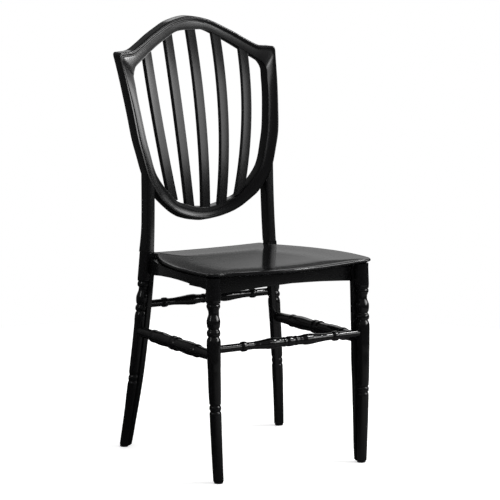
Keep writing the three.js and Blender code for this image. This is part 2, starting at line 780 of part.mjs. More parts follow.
function seatBody() {
  const outline = wholeOutline(seatHalfOutline());
  const middleInset = seatHalfWidth * dishMiddleShare;
  const under = (drop) => (x, y) => lipTopAt(x, y) - drop;
  const hidden = [
    seatRing(outline, middleInset, under(trayDepth)),
    trayRing(outline, under(trayDepth)),
    trayRing(outline, bearingAt),
  ];
  const rings = [
    [seatBearingInset, bearingAt],
    [lipRounding, under(lipThickness)],
    [0, under(lipThickness - lipRounding)],
    [0, under(lipRounding)],
    [lipRounding, under(0)],
    [rimCrownInset, under(rimCrownDrop)],
    [(rimCrownInset + dishRimWidth) / 2, under(dishDepth / 2)],
    [dishRimWidth, under(dishDepth)],
    [middleInset, under(dishDepth)],
  ];
  const shown = rings.map(([inset, heightAt]) => seatRing(outline, inset, heightAt));
  return loft([...hidden, ...shown]);
}

// Back posts
function postAxis(side, z) {
  const t = (z - legDatum) / (postTopHeight - legDatum);
  const settle = (1 - t) * (1 - t);
  const x = postTopX + postLeanIn * settle;
  return new THREE.Vector3(side * x, postBottomY + (postTopY - postBottomY) * t, z);
}

// Section of a post: share of the width across, share of the flat wall's depth, share of the nose
const postSectionShares = [
  [-0.5, 0.5, 0], [-0.5, -0.5, 0], [-0.3, -0.5, -0.8], [0, -0.5, -1], [0.3, -0.5, -0.8],
  [0.5, -0.5, 0], [0.5, 0.5, 0], [0.3, 0.5, 0.6], [-0.3, 0.5, 0.6],
];

function postRing(side, z) {
  const axis = postAxis(side, z);
  const wall = postDepth - 2 * postNose;
  return postSectionShares.map(([across, depth, nose]) => (
    new THREE.Vector3(axis.x + across * postWidth, axis.y + depth * wall + nose * postNose, z)));
}

// Shield surface: the front of the frame leans back towards the crest and bows backwards at the sides
function reclineAt(z) {
  const rise = Math.max(z - reclineStart, 0) / (chairHeight - reclineStart);
  return crestRecline * rise * rise;
}

function shieldFaceAt(x, z) {
  const perHeight = (lowerBow - earBow) / (earHeight - lowerBowHeight);
  const bow = earBow + (earHeight - z) * perHeight;
  return shieldFrontY + reclineAt(z) - bow * (x / shieldHalfWidth) ** 2;
}

function slatFaceAt(x, z) {
  return shieldFrontY + reclineAt(z) - slatBow * (x / shieldHalfWidth) ** 2 + slatSetback;
}

// Stations round the whole shield: matching places on the outer and inner edge
function shieldStations() {
  const toPlan = (across, up) => (
    new THREE.Vector2(across * shieldHalfWidth, shieldFootHeight + up * shieldHeight));
  const outerCurve = new THREE.SplineCurve(shieldShares.map(([x, z]) => toPlan(x, z)));
  const innerCurve = new THREE.SplineCurve(shieldShares.map(([, , x, z]) => toPlan(x, z)));
  const steps = (shieldShares.length - 1) * shieldStepsPerPoint;
  const half = [];
  for (let i = 0; i <= steps; i += 1) {
    half.push({ outer: outerCurve.getPoint(i / steps), inner: innerCurve.getPoint(i / steps) });
  }
  const flip = (p) => new THREE.Vector2(-p.x, p.y);
  const flipBoth = ({ outer, inner }) => ({ outer: flip(outer), inner: flip(inner) });
  return [...half, ...half.slice(1, -1).reverse().map(flipBoth)];
}

// Moulded section of the frame between its outer and inner edge: width from the outer edge, depth
function frameSection(width) {
  return [
    [0, frameDepth], [0, frameCoveDepth], [frameBeadWidth / 2, 0], [frameBeadWidth, 0],
    [frameCoveWidth, frameCoveDepth], [width / 2, 0], [width - frameCoveWidth, frameCoveDepth / 2],
    [width - frameLedgeWidth, frameEdgeDrop], [width, frameLedgeDrop], [width, frameDepth],
  ];
}

function frameRing({ outer, inner }) {
  const width = outer.distanceTo(inner);
  const across = new THREE.Vector2().subVectors(inner, outer).normalize();
  const lowness = Math.max(0, 1 - Math.abs(outer.x) / (shieldHalfWidth * undercutFadeShare));
  const railShare = outer.y < lowerBowHeight ? Math.min(1, 2 * lowness) : 0;
  return frameSection(width).map(([inset, depth]) => {
    const place = outer.clone().addScaledVector(across, inset);
    const drop = inset === 0 && depth === frameDepth ? railUndercut * railShare : 0;
    return new THREE.Vector3(place.x, shieldFaceAt(place.x, place.y) + depth, place.y - drop);
  });
}

// Everything inside the shield's outer edge, grown by the clearance, as the cutter for the posts
function shieldEnvelope() {
  const outer = shieldStations().map((station) => station.outer);
  const count = outer.length;
  const grown = outer.map((point, i) => {
    const before = outer[(i + count - 1) % count];
    const after = outer[(i + 1) % count];
    const tangent = new THREE.Vector2().subVectors(after, before).normalize();
    return new THREE.Vector2(point.x - tangent.y * fitGap, point.y + tangent.x * fitGap);
  });
  const shape = new THREE.Shape(grown);
  const depth = crestRecline + 4 * frameDepth;
  const geometry = new THREE.ExtrudeGeometry(shape, { depth, bevelEnabled: false });
  return geometry.rotateX(Math.PI / 2).translate(0, shieldFrontY - lowerBow - frameDepth + depth, 0);
}

// Slats: straight upper run, swept inwards below, with a tenon into the frame at each end
const slats = [
  { name: 'slat_outer_left', side: -1, topX: outerSlatX, sweep: outerSlatSweep },
  { name: 'slat_inner_left', side: -1, topX: innerSlatX, sweep: innerSlatSweep },
  { name: 'slat_centre', side: 1, topX: 0, sweep: 0 },
  { name: 'slat_inner_right', side: 1, topX: innerSlatX, sweep: innerSlatSweep },
  { name: 'slat_outer_right', side: 1, topX: outerSlatX, sweep: outerSlatSweep },
];
const slatLevels = 9;

function slatX({ side, topX, sweep }, z) {
  const start = chairHeight - slatSweepDrop;
  const down = Math.max(0, (start - z) / (start - shieldFootHeight));
  return side * (topX - sweep * down * down);
}

// Height of the shield's inner edge above or below a place across
function innerEdgeHeight(x, isCrest) {
  const middle = (chairHeight + shieldFootHeight) / 2;
  const inner = shieldStations().map((station) => station.inner).filter((p) => (p.y > middle) === isCrest);
  const sorted = inner.slice().sort((a, b) => a.x - b.x);
  return alongShares(sorted.map((p) => [p.x, p.y]), x);
}

function slatEnds(slat) {
  const top = innerEdgeHeight(slatX(slat, earHeight), true) + slatTenon;
  let foot = shieldFootHeight;
  for (let i = 0; i < slatLevels; i += 1) {
    foot = innerEdgeHeight(slatX(slat, foot), false);
  }
  return [foot - slatTenon, top];
}

function slatBody(slat, extra = 0) {
  const [foot, top] = slatEnds(slat);
  const rings = [];
  for (let i = 0; i <= slatLevels; i += 1) {
    const z = foot - extra + (top - foot + 2 * extra) * (i / slatLevels);
    const x = slatX(slat, z);
    const half = slatWidth / 2 + extra;
    const front = slatFaceAt(x, z) - extra;
    const back = slatFaceAt(x, z) + slatDepth + extra;
    const section = [
      [-half, slatCrown], [-half / 2, slatCrown / 4], [0, 0], [half / 2, slatCrown / 4], [half, slatCrown],
    ];
    const ring = section.map(([across, depth]) => new THREE.Vector3(x + across, front + depth, z));
    ring.push(new THREE.Vector3(x + half, back, z), new THREE.Vector3(x - half, back, z));
    rings.push(ring);
  }
  return loft(rings);
}

// Dowels: each post's stands in the leg clear of the corner bolt, and one more holds the shield's flank
function postDowelBody(side, extra = 0) {
  const middle = postAxis(side, rearLegHeight);
  const bottom = boltLine(rearLeg, side).face.z + boltRadius + postDowelFloor - extra;
  const from = new THREE.Vector3(middle.x, middle.y, bottom);
  const length = rearLegHeight + postDowelReach + extra - bottom;
  const profile = [[0, postDowelRadius + extra], [length, postDowelRadius + extra]];
  return turned(profile, from, middle.clone().setZ(legDatum + postDowelReach), stretcherSides);
}

// Where the middle line of a post meets the shield's outer edge, and that edge's direction
function postMeetsShield() {
  const edge = shieldStations().map((station) => station.outer).filter((p) => p.x > 0);
  const lowerFlank = edge.filter((p) => p.y < (earHeight + shieldFootHeight) / 2);
  const nearest = lowerFlank.reduce((best, p, i) => (
    Math.abs(p.x - postTopX) < Math.abs(lowerFlank[best].x - postTopX) ? i : best), 0);
  const above = lowerFlank[Math.max(nearest - 1, 0)];
  const below = lowerFlank[Math.min(nearest + 1, lowerFlank.length - 1)];
  return { place: lowerFlank[nearest], upward: new THREE.Vector2().subVectors(above, below).normalize() };
}

function shieldDowelBody(side, extra = 0) {
  const { place, upward } = postMeetsShield();
  const inward = new THREE.Vector3(-side * upward.y, 0, upward.x);
  const frameMiddleY = shieldFaceAt(place.x, place.y) + frameDepth / 2;
  const y = (postAxis(side, place.y).y + frameMiddleY) / 2;
  const face = new THREE.Vector3(side * place.x, y, place.y);
  const from = face.clone().addScaledVector(inward, -shieldDowelInPost - extra);
  const length = shieldDowelInPost + shieldDowelInFrame + 2 * extra;
  const radius = shieldDowelRadius + extra;
  return turned([[0, radius], [length, radius]], from, face, stretcherSides);
}

// The chair, piece by piece
const chair = new THREE.Group();

function addPiece(name, geometry, look) {
  const mesh = new THREE.Mesh(geometry, new THREE.MeshStandardMaterial(look));
  mesh.name = name;
  chair.add(mesh);
}

const sides = [['left', -1], ['right', 1]];
const seatCuts = [];

for (const [sideName, side] of sides) {
  const stretcher = stretcherPlaces[`side_stretcher_${sideName}`];
  const atLeft = side < 0;
  const frontCuts = [
    socketCutter(stretcherPlaces.front_stretcher, atLeft), socketCutter(stretcher, true),
    glideSocket(frontLeg, side), boltHole(frontLeg, side),
  ];
  const rearCuts = [
    socketCutter(stretcherPlaces.rear_stretcher, atLeft), socketCutter(stretcher, false),
    glideSocket(rearLeg, side), boltHole(rearLeg, side), postDowelBody(side, fitGap),
  ];
  addPiece(`front_leg_${sideName}`, cut(legBody(frontLeg, side), frontCuts), blackPlastic);
  addPiece(`rear_leg_${sideName}`, cut(legBody(rearLeg, side), rearCuts), blackPlastic);
  addPiece(`side_stretcher_${sideName}`, stretcherBody(stretcher), blackPlastic);
  for (const [place, leg] of [['front', frontLeg], ['rear', rearLeg]]) {
    addPiece(`foot_glide_${place}_${sideName}`, glideBody(leg, side), nylon);
  }
}
addPiece('front_stretcher', stretcherBody(stretcherPlaces.front_stretcher), blackPlastic);
addPiece('rear_stretcher', stretcherBody(stretcherPlaces.rear_stretcher), blackPlastic);

const frontBlockCutters = [legBlockCutter(frontLeg, -1), legBlockCutter(frontLeg, 1)];
const rearBlockCutters = [legBlockCutter(rearLeg, -1), legBlockCutter(rearLeg, 1)];
const frontBolts = [boltHole(frontLeg, -1), boltHole(frontLeg, 1)];
const rearBolts = [boltHole(rearLeg, -1), boltHole(rearLeg, 1)];
addPiece('front_apron', cut(frontApronBody(), [...frontBlockCutters, ...frontBolts]), blackPlastic);
addPiece('rear_apron', cut(rearApronBody(), [...rearBlockCutters, ...rearBolts]), blackPlastic);

const corners = [['front', frontLeg, frontApronBody], ['rear', rearLeg, rearApronBody]];
for (const [sideName, side] of sides) {
  const legCuts = [legBlockCutter(frontLeg, side), legBlockCutter(rearLeg, side)];
  const apronCuts = [...legCuts, frontApronBody(fitGap), rearApronBody(fitGap), boltHole(rearLeg, side)];
  addPiece(`side_apron_${sideName}`, cut(sideApronBody(side), apronCuts), blackPlastic);
  for (const [place, leg, acrossBody] of corners) {
    const cutters = [
      acrossBody(fitGap), sideApronBody(side, fitGap), boltHole(leg, side), seatScrewHole(leg, side),
    ];
    addPiece(`corner_block_${place}_${sideName}`, cut(cornerBlockBody(leg, side), cutters), nylon);
    addPiece(`corner_bolt_${place}_${sideName}`, boltBody(leg, side), zincSteel);
    addPiece(`seat_screw_${place}_${sideName}`, seatScrewBody(leg, side), zincSteel);
    seatCuts.push(seatScrewHole(leg, side));
  }
}
addPiece('seat_panel', cut(seatBody(), seatCuts), blackPlastic);

const postLevelShares = [0, 0.1, 0.3, 0.6, 1];
const postFootHeight = rearLegHeight + fitGap;
const postLevels = postLevelShares.map((share) => (
  postFootHeight + (postTopHeight - postFootHeight) * share));
const envelope = shieldEnvelope();
for (const [sideName, side] of sides) {
  const blank = loft(postLevels.map((z) => postRing(side, z)));
  const cutters = [envelope, postDowelBody(side, fitGap), shieldDowelBody(side, fitGap)];
  addPiece(`back_post_${sideName}`, cut(blank, cutters), blackPlastic);
  addPiece(`post_dowel_${sideName}`, postDowelBody(side), nylon);
  addPiece(`shield_dowel_${sideName}`, shieldDowelBody(side), nylon);
}

const frameBlank = loft(shieldStations().map(frameRing), true);
const slatSockets = slats.map((slat) => slatBody(slat, fitGap));
const dowelSockets = sides.map(([, side]) => shieldDowelBody(side, fitGap));
addPiece('shield_frame', cut(frameBlank, [...slatSockets, ...dowelSockets]), blackPlastic);
for (const slat of slats) {
  addPiece(slat.name, slatBody(slat), blackPlastic);
}

// The origin lies on the floor, under the middle of the whole chair
chair.updateMatrixWorld(true);
const reach = new THREE.Box3().setFromObject(chair);
chair.position.y = -(reach.min.y + reach.max.y) / 2;

export default chair;
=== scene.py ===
import math

import bmesh
import bpy
import numpy as np
from mathutils import Matrix, Vector


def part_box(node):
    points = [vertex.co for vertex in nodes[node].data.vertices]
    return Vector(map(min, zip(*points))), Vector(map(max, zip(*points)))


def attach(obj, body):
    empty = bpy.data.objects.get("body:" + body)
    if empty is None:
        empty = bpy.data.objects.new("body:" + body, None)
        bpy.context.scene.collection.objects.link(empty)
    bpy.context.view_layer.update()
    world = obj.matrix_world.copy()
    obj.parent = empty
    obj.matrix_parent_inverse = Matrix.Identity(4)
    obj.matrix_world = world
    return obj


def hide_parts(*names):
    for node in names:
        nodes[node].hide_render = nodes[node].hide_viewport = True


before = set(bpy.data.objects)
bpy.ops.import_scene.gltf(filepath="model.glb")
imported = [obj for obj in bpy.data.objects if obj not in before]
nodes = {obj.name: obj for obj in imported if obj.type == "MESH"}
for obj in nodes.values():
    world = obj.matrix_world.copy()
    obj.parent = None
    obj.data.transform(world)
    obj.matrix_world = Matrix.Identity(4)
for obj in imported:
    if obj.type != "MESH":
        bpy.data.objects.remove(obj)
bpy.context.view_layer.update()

scene = bpy.context.scene
mm = 0.001
sides = {"left": -1, "right": 1}

# Plan places below are in mm from the seat's datum, as a chair maker would measure them.
# The frame's origin lies under the middle of the whole chair, so y is moved by what a glide tells.
frontFootY = -169.3
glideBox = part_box("foot_glide_front_left")
datumY = (glideBox[0].y + glideBox[1].y) / 2 / mm - frontFootY


def linearColour(code):
    channels = [int(code[i:i + 2], 16) / 255 for i in (1, 3, 5)]
    return [c / 12.92 if c <= 0.04045 else ((c + 0.055) / 1.055) ** 2.4 for c in channels] + [1.0]


# settings go to the node, values to its sockets, and links join earlier nodes' outputs to its sockets
def addNode(tree, kind, settings=None, values=None, links=None):
    node = tree.nodes.new(kind)
    for name, value in (settings or {}).items():
        setattr(node, name, value)
    for socket, value in (values or {}).items():
        node.inputs[socket].default_value = value
    for socket, source in (links or {}).items():
        tree.links.new(source, node.inputs[socket])
    return node


# Materials

def newMaterial(name):
    material = bpy.data.materials.new(name)
    material.use_nodes = True
    material.node_tree.nodes.clear()
    return material, material.node_tree


# Black polypropylene as it leaves a polished steel mould: the pigment swallows nearly all light, so
# the eye sees only its reflections. They waver a little where the wall sank while it cooled, and are
# softened by the fine grain of the mould. The looks differ in how far each tool was polished.
plasticLooks = {
    "polishedMouldedPolypropylene": {  # legs and stretchers, from the glossiest moulds
        "black": "#0b0b0c", "roughness": 0.11, "roughnessSpread": 0.02, "grain": 0.35, "grainDepth": 0.0003,
        "sink": 22, "sinkDepth": 0.015, "flow": 9,
    },
    "satinMouldedPolypropylene": {  # shield, slats, posts and aprons, softer and a little streaked
        "black": "#0b0b0c", "roughness": 0.22, "roughnessSpread": 0.012, "grain": 0.7, "grainDepth": 0.0009,
        "sink": 34, "sinkDepth": 0.06, "flow": 26,
    },
    "seatMouldedPolypropylene": {  # the panel, with one even sheen
        "black": "#0d0d0e", "roughness": 0.13, "roughnessSpread": 0.01, "grain": 0.5, "grainDepth": 0.0003,
        "sink": 90, "sinkDepth": 0.05, "flow": 40,
    },
}
flowStretch = 0.12        # flow marks run up and down: their width as a share of their length
noiseSpan = (0.3, 0.7)    # where nearly all of a noise's values lie
dust = {"spacing": 46, "radius": 0.35, "colour": "#77767a", "share": 0.5}    # share of the dust's colour


def plasticMaterial(name):
    look = plasticLooks[name]
    material, tree = newMaterial(name)
    place = addNode(tree, "ShaderNodeTexCoord").outputs["Object"]
    along = addNode(tree, "ShaderNodeMapping", values={"Scale": (1, 1, flowStretch)}, links={"Vector": place})
    flow = addNode(tree, "ShaderNodeTexNoise", values={"Scale": 1 / (look["flow"] * mm), "Detail": 4.0},
                   links={"Vector": along.outputs[0]})
    low, high = look["roughness"] - look["roughnessSpread"], look["roughness"] + look["roughnessSpread"]
    roughness = addNode(tree, "ShaderNodeMapRange",
                        values={"From Min": noiseSpan[0], "From Max": noiseSpan[1],
                                "To Min": low, "To Max": high}, links={"Value": flow.outputs[0]})
    # Specks of dust show where the middle of a Voronoi cell lies on the surface
    cells = addNode(tree, "ShaderNodeTexVoronoi", values={"Scale": 1 / (dust["spacing"] * mm)},
                    links={"Vector": place})
    speck = addNode(tree, "ShaderNodeMath", {"operation": "LESS_THAN"},
                    {1: dust["radius"] / dust["spacing"]}, {0: cells.outputs["Distance"]})
    speckShare = addNode(tree, "ShaderNodeMath", {"operation": "MULTIPLY"}, {1: dust["share"]},
                         {0: speck.outputs[0]})
    colour = addNode(tree, "ShaderNodeMix", {"data_type": "RGBA"},
                     {6: linearColour(look["black"]), 7: linearColour(dust["colour"])},
                     {0: speckShare.outputs[0]})
    # The wavering walls, then the grain of the mould, both as real heights
    sink = addNode(tree, "ShaderNodeTexNoise", values={"Scale": 1 / (look["sink"] * mm), "Detail": 1.0},
                   links={"Vector": place})
    wavy = addNode(tree, "ShaderNodeBump", values={"Distance": look["sinkDepth"] * mm},
                   links={"Height": sink.outputs[0]})
    grain = addNode(tree, "ShaderNodeTexNoise", values={"Scale": 1 / (look["grain"] * mm), "Detail": 2.0},
                    links={"Vector": place})
    fine = addNode(tree, "ShaderNodeBump", values={"Distance": look["grainDepth"] * mm},
                   links={"Height": grain.outputs[0], "Normal": wavy.outputs[0]})
    shader = addNode(tree, "ShaderNodeBsdfPrincipled", values={"IOR": 1.49},
                     links={"Base Color": colour.outputs[2], "Roughness": roughness.outputs[0],
                            "Normal": fine.outputs[0]})
    addNode(tree, "ShaderNodeOutputMaterial", links={"Surface": shader.outputs[0]})
    return material


# Black glass-filled nylon, moulded: dull, with a sandy grain
nylonLook = {"dark": "#161617", "light": "#242426", "roughness": 0.62, "grain": 0.8, "grainDepth": 0.02}


def nylonMaterial():
    material, tree = newMaterial("mouldedNylonBlack")
    place = addNode(tree, "ShaderNodeTexCoord").outputs["Object"]
    grain = addNode(tree, "ShaderNodeTexNoise",
                    values={"Scale": 1 / (nylonLook["grain"] * mm), "Detail": 3.0}, links={"Vector": place})
    tone = addNode(tree, "ShaderNodeMix", {"data_type": "RGBA"},
                   {6: linearColour(nylonLook["dark"]), 7: linearColour(nylonLook["light"])},
                   {0: grain.outputs[0]})
    bump = addNode(tree, "ShaderNodeBump", values={"Distance": nylonLook["grainDepth"] * mm},
                   links={"Height": grain.outputs[0]})
    shader = addNode(tree, "ShaderNodeBsdfPrincipled",
                     values={"Roughness": nylonLook["roughness"], "IOR": 1.53},
                     links={"Base Color": tone.outputs[2], "Normal": bump.outputs[0]})
    addNode(tree, "ShaderNodeOutputMaterial", links={"Surface": shader.outputs[0]})
    return material


# Steel fasteners with a bright zinc plate: grey metal with a faint blue cloud from passivation
zincLook = {"cool": "#a9adb3", "warm": "#c4c4be", "roughness": (0.28, 0.45), "cloud": 3, "cloudDepth": 0.01}


def zincMaterial():
    material, tree = newMaterial("zincPlatedSteel")
    place = addNode(tree, "ShaderNodeTexCoord").outputs["Object"]
    cloud = addNode(tree, "ShaderNodeTexNoise", values={"Scale": 1 / (zincLook["cloud"] * mm), "Detail": 3.0},
                    links={"Vector": place})
    tone = addNode(tree, "ShaderNodeMix", {"data_type": "RGBA"},
                   {6: linearColour(zincLook["cool"]), 7: linearColour(zincLook["warm"])},
                   {0: cloud.outputs[0]})
    low, high = zincLook["roughness"]
    roughness = addNode(tree, "ShaderNodeMapRange", values={"To Min": low, "To Max": high},
                        links={"Value": cloud.outputs[0]})
    bump = addNode(tree, "ShaderNodeBump", values={"Distance": zincLook["cloudDepth"] * mm},
                   links={"Height": cloud.outputs[0]})
    shader = addNode(tree, "ShaderNodeBsdfPrincipled", values={"Metallic": 1.0},
                     links={"Base Color": tone.outputs[2], "Roughness": roughness.outputs[0],
                            "Normal": bump.outputs[0]})
    addNode(tree, "ShaderNodeOutputMaterial", links={"Surface": shader.outputs[0]})
    return material


polished = plasticMaterial("polishedMouldedPolypropylene")
satin = plasticMaterial("satinMouldedPolypropylene")
seatFinish = plasticMaterial("seatMouldedPolypropylene")
nylon = nylonMaterial()
zinc = zincMaterial()
print("materials made")


# Shared mesh tools

def toFrame(x, y, z):
    return (x * mm, (y + datumY) * mm, z * mm)


# A table of [place, value] rows read with a smooth curve that never overshoots its rows
def smoothTable(table, places):
    xs, ys = np.array(table, float).T
    run, rise = np.diff(xs), np.diff(ys)
    slope = rise / run
    tangent = np.zeros(len(xs))
    for i in range(1, len(xs) - 1):
        if slope[i - 1] * slope[i] > 0:
            tangent[i] = 2 * slope[i - 1] * slope[i] / (slope[i - 1] + slope[i])
    tangent[0], tangent[-1] = slope[0], slope[-1]
    at = np.clip(np.asarray(places, float), xs[0], xs[-1])
    k = np.clip(np.searchsorted(xs, at, side="right") - 1, 0, len(run) - 1)
    t = (at - xs[k]) / run[k]
    return (ys[k] * (1 + 2 * t) * (1 - t) ** 2 + tangent[k] * run[k] * t * (1 - t) ** 2
            + ys[k + 1] * t * t * (3 - 2 * t) + tangent[k + 1] * run[k] * t * t * (t - 1))


# Points of a curve through given plan points, evenly spread between them
def smoothPath(points, steps):
    points = np.array(points, float)
    padded = np.vstack([2 * points[0] - points[1], points, 2 * points[-1] - points[-2]])
    path = []
    for a, b, c, d in zip(padded, padded[1:], padded[2:], padded[3:]):
        for t in np.arange(steps) / steps:
            path.append(0.5 * (2 * b + (c - a) * t + (2 * a - 5 * b + 4 * c - d) * t * t
                               + (3 * b - a - 3 * c + d) * t ** 3))
    return np.array(path + [points[-1]])


# Turned profile from rows of [height, radius, way]: a bead's flank is convex and flat at its crest,
# ease is an S and line is straight
def turnedProfile(rows, steps=7, straightStep=12):
    profile = [(rows[0][0], rows[0][1])]
    for (z0, r0, _), (z1, r1, way) in zip(rows, rows[1:]):
        count = steps if way != "line" else max(2, round(abs(z1 - z0) / straightStep))
        for i in range(1, count + 1):
            t = i / count
            if way == "bead":
                t = math.sin(t * math.pi / 2) if r1 > r0 else 1 - math.cos(t * math.pi / 2)
                fromCrest = 1 - t if r1 > r0 else t
                r = min(r0, r1) + abs(r1 - r0) * math.sqrt(max(0, 1 - fromCrest ** 2))
            elif way == "ease":
                r = r0 + (r1 - r0) * (3 - 2 * t) * t * t
            else:
                r = r0 + (r1 - r0) * t
            profile.append((z0 + (z1 - z0) * t, r))
    return profile


def finishPiece(name, mesh, material, node):
    mesh.materials.clear()
    mesh.materials.append(material)
    piece = bpy.data.objects.new(name, mesh)
    scene.collection.objects.link(piece)
    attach(piece, "root")
    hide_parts(node)


# Merges the points where a piece closes, turns its faces outwards and keeps its edges crisp
def closeMesh(mesh, mergeWithin, sharpAngle):
    closed = bmesh.new()
    closed.from_mesh(mesh)
    bmesh.ops.remove_doubles(closed, verts=closed.verts, dist=mergeWithin * mm)
    bmesh.ops.recalc_face_normals(closed, faces=closed.faces)
    closed.to_mesh(mesh)
    closed.free()
    mesh.shade_smooth()
    mesh.set_sharp_from_angle(angle=math.radians(sharpAngle))


# Skins equal rings of points in mm, with fans on the open ends
def ringMesh(name, rings, isLoop=False, sharpAngle=38):
    rings = np.array(rings, float)
    count, around = rings.shape[:2]
    points = rings.reshape(-1, 3)
    faces = []
    for r in range(count if isLoop else count - 1):
        here, there = r * around, ((r + 1) % count) * around
        for i in range(around):
            j = (i + 1) % around
            faces.append((here + i, here + j, there + j, there + i))
    if not isLoop:
        points = np.vstack([points, rings[0].mean(0), rings[-1].mean(0)])
        first, last = len(points) - 2, len(points) - 1
        top = (count - 1) * around
        for i in range(around):
            j = (i + 1) % around
            faces.append((first, j, i))
            faces.append((last, top + i, top + j))
    mesh = bpy.data.meshes.new(name)
    mesh.from_pydata([toFrame(*point) for point in points], [], faces)
    closeMesh(mesh, 0.004, sharpAngle)
    return mesh


# Points round a section that is a soft-cornered rectangle: across, depth
def softRectangle(width, depth, radius, steps=6):
    section = []
    for turn, (sx, sy) in enumerate([(1, 1), (-1, 1), (-1, -1), (1, -1)]):
        for i in range(steps + 1):
            angle = (turn + i / steps) * math.pi / 2
            section.append((sx * (width / 2 - radius) + radius * math.cos(angle),
                            sy * (depth / 2 - radius) + radius * math.sin(angle)))
    return section


# Opens a node tree with a path, a named input for each size, and a material
def openTree(name, sizes):
    tree = bpy.data.node_groups.new(name, "GeometryNodeTree")
    tree.interface.new_socket(name="Path", in_out="INPUT", socket_type="NodeSocketGeometry")
    for label, value in sizes.items():
        kind = "NodeSocketInt" if isinstance(value, int) else "NodeSocketFloat"
        tree.interface.new_socket(name=label, in_out="INPUT", socket_type=kind).default_value = value
    tree.interface.new_socket(name="Material", in_out="INPUT", socket_type="NodeSocketMaterial")
    tree.interface.new_socket(name="Mesh", in_out="OUTPUT", socket_type="NodeSocketGeometry")
    return tree, addNode(tree, "NodeGroupInput").outputs


# Ends a node tree: its shape made smooth and real, and given its material
def closeTree(tree, given, shape):
    smooth = addNode(tree, "GeometryNodeSetShadeSmooth", links={"Geometry": shape})
    real = addNode(tree, "GeometryNodeRealizeInstances", links={"Geometry": smooth.outputs[0]})
    coated = addNode(tree, "GeometryNodeSetMaterial", links={"Geometry": real.outputs[0],
                                                             "Material": given["Material"]})
    addNode(tree, "NodeGroupOutput", links={"Mesh": coated.outputs[0]})


# Runs a tree on a path of points in metres and keeps the mesh
def treeMesh(name, tree, path, sizes, material, sharpAngle=38):
    base = bpy.data.meshes.new(name + "Path")
    base.from_pydata(path, [(i, i + 1) for i in range(len(path) - 1)], [])
    holder = bpy.data.objects.new(name + "Path", base)
    scene.collection.objects.link(holder)
    modifier = holder.modifiers.new("Shape", "NODES")
    modifier.node_group = tree
    for item in tree.interface.items_tree:
        if item.in_out == "INPUT" and item.name in sizes:
            modifier[item.identifier] = sizes[item.name]
        if item.in_out == "INPUT" and item.name == "Material":
            modifier[item.identifier] = material
    graph = bpy.context.evaluated_depsgraph_get()
    mesh = bpy.data.meshes.new_from_object(holder.evaluated_get(graph))
    bpy.data.objects.remove(holder)
    bpy.data.meshes.remove(base)
    closeMesh(mesh, 0.002, sharpAngle)
    return mesh


# Plan place of the rear legs' axes at the datum height and the reach of their square corners at the
# top, which the seat and the aprons follow
rearLegTop = (151.6, 176)
rearLegHalf = 15.3

# Seat panel
seat = {
    "height": 431, "halfWidth": 204.5, "frontReach": 190, "rearReach": 187,
    "fall": 5.8, "cornerRise": 3.2, "rearDip": 3.5,
    "lip": 6, "bearing": 9.5, "bearingInset": 8, "trayInset": 45, "trayDepth": 18, "trayMiddle": 120,
    "traySoftening": (2, 1.5),   # across, up
    "underGap": 0.3,             # between the panel and what carries it
    "lipUnder": [(2.5, 0), (0.8, 0.5), (0.1, 1.5)],   # inset, rise from the lip's underside
    # Notch round the rear legs, then the rear corner: share of the notch's x, inset from the rear edge
    "notchGap": 0.6, "notchEase": (1.6, 6), "rearCorner": [(1, 6), (0.992, 1.5), (0.97, 0.3), (0.5, 0)],
    # Half outline from the front middle: share of the half width, share of the depth
    "outline": [(0, 0), (0.245, 0.007), (0.489, 0.025), (0.733, 0.043), (0.87, 0.045), (0.935, 0.055),
                (0.972, 0.086), (0.99, 0.133), (1, 0.239), (1, 0.319), (0.985, 0.412), (0.954, 0.505),
                (0.907, 0.612), (0.841, 0.718), (0.763, 0.819), (0.709, 0.883)],
    # Top surface from the rounded lip inwards: inset, drop below the lip's height
    "top": [(0, 3.0), (0.3, 1.9), (0.9, 1.0), (1.8, 0.4), (3, 0.1), (4.5, 0), (8, 0), (13, 0.1), (20, 0.5),
            (30, 1.2), (40, 1.95), (50, 2.65), (58, 3.1), (66, 3.4), (78, 3.6), (96, 3.7), (180, 3.7)],
    # Further insets that get points of their own: from, to, step
    "topSteps": [(8, 100, 3.0), (100, 200, 12.0)],
}
seatDepth = seat["frontReach"] + seat["rearReach"]
seatMiddleY = (seat["rearReach"] - seat["frontReach"]) / 2


def lipTop(x, y):
    back = (y + seat["frontReach"]) / seatDepth
    across = (x / seat["halfWidth"]) ** 2
    return (seat["height"] - seat["fall"] * back + seat["cornerRise"] * across * (1 - back)
            - seat["rearDip"] * (1 - across) * back * back)


# Height of what carries the panel
def underSeat(x, y):
    return lipTop(x, y) - seat["bearing"] - seat["underGap"]


def seatOutline():
    curved = smoothPath([(a * seat["halfWidth"], b * seatDepth - seat["frontReach"])
                         for a, b in seat["outline"]], 6)
    notchX, notchY = (place - rearLegHalf - seat["notchGap"] for place in rearLegTop)
    easeX, easeY = seat["notchEase"]
    rear = [(notchX + easeX, notchY - easeY), (notchX, notchY)]
    rear += [(notchX * share, seat["rearReach"] - inset) for share, inset in seat["rearCorner"]]
    half = [tuple(p) for p in curved] + rear + [(0, seat["rearReach"])]
    return np.array(half + [(-x, y) for x, y in half[-2:0:-1]])


def seatRing(outline, inset, drop):
    scale = 1 - inset / seat["halfWidth"]
    ring = []
    for x, y in outline:
        px, py = x * scale, seatMiddleY + (y - seatMiddleY) * scale
        ring.append((px, py, lipTop(px, py) - drop))
    return ring


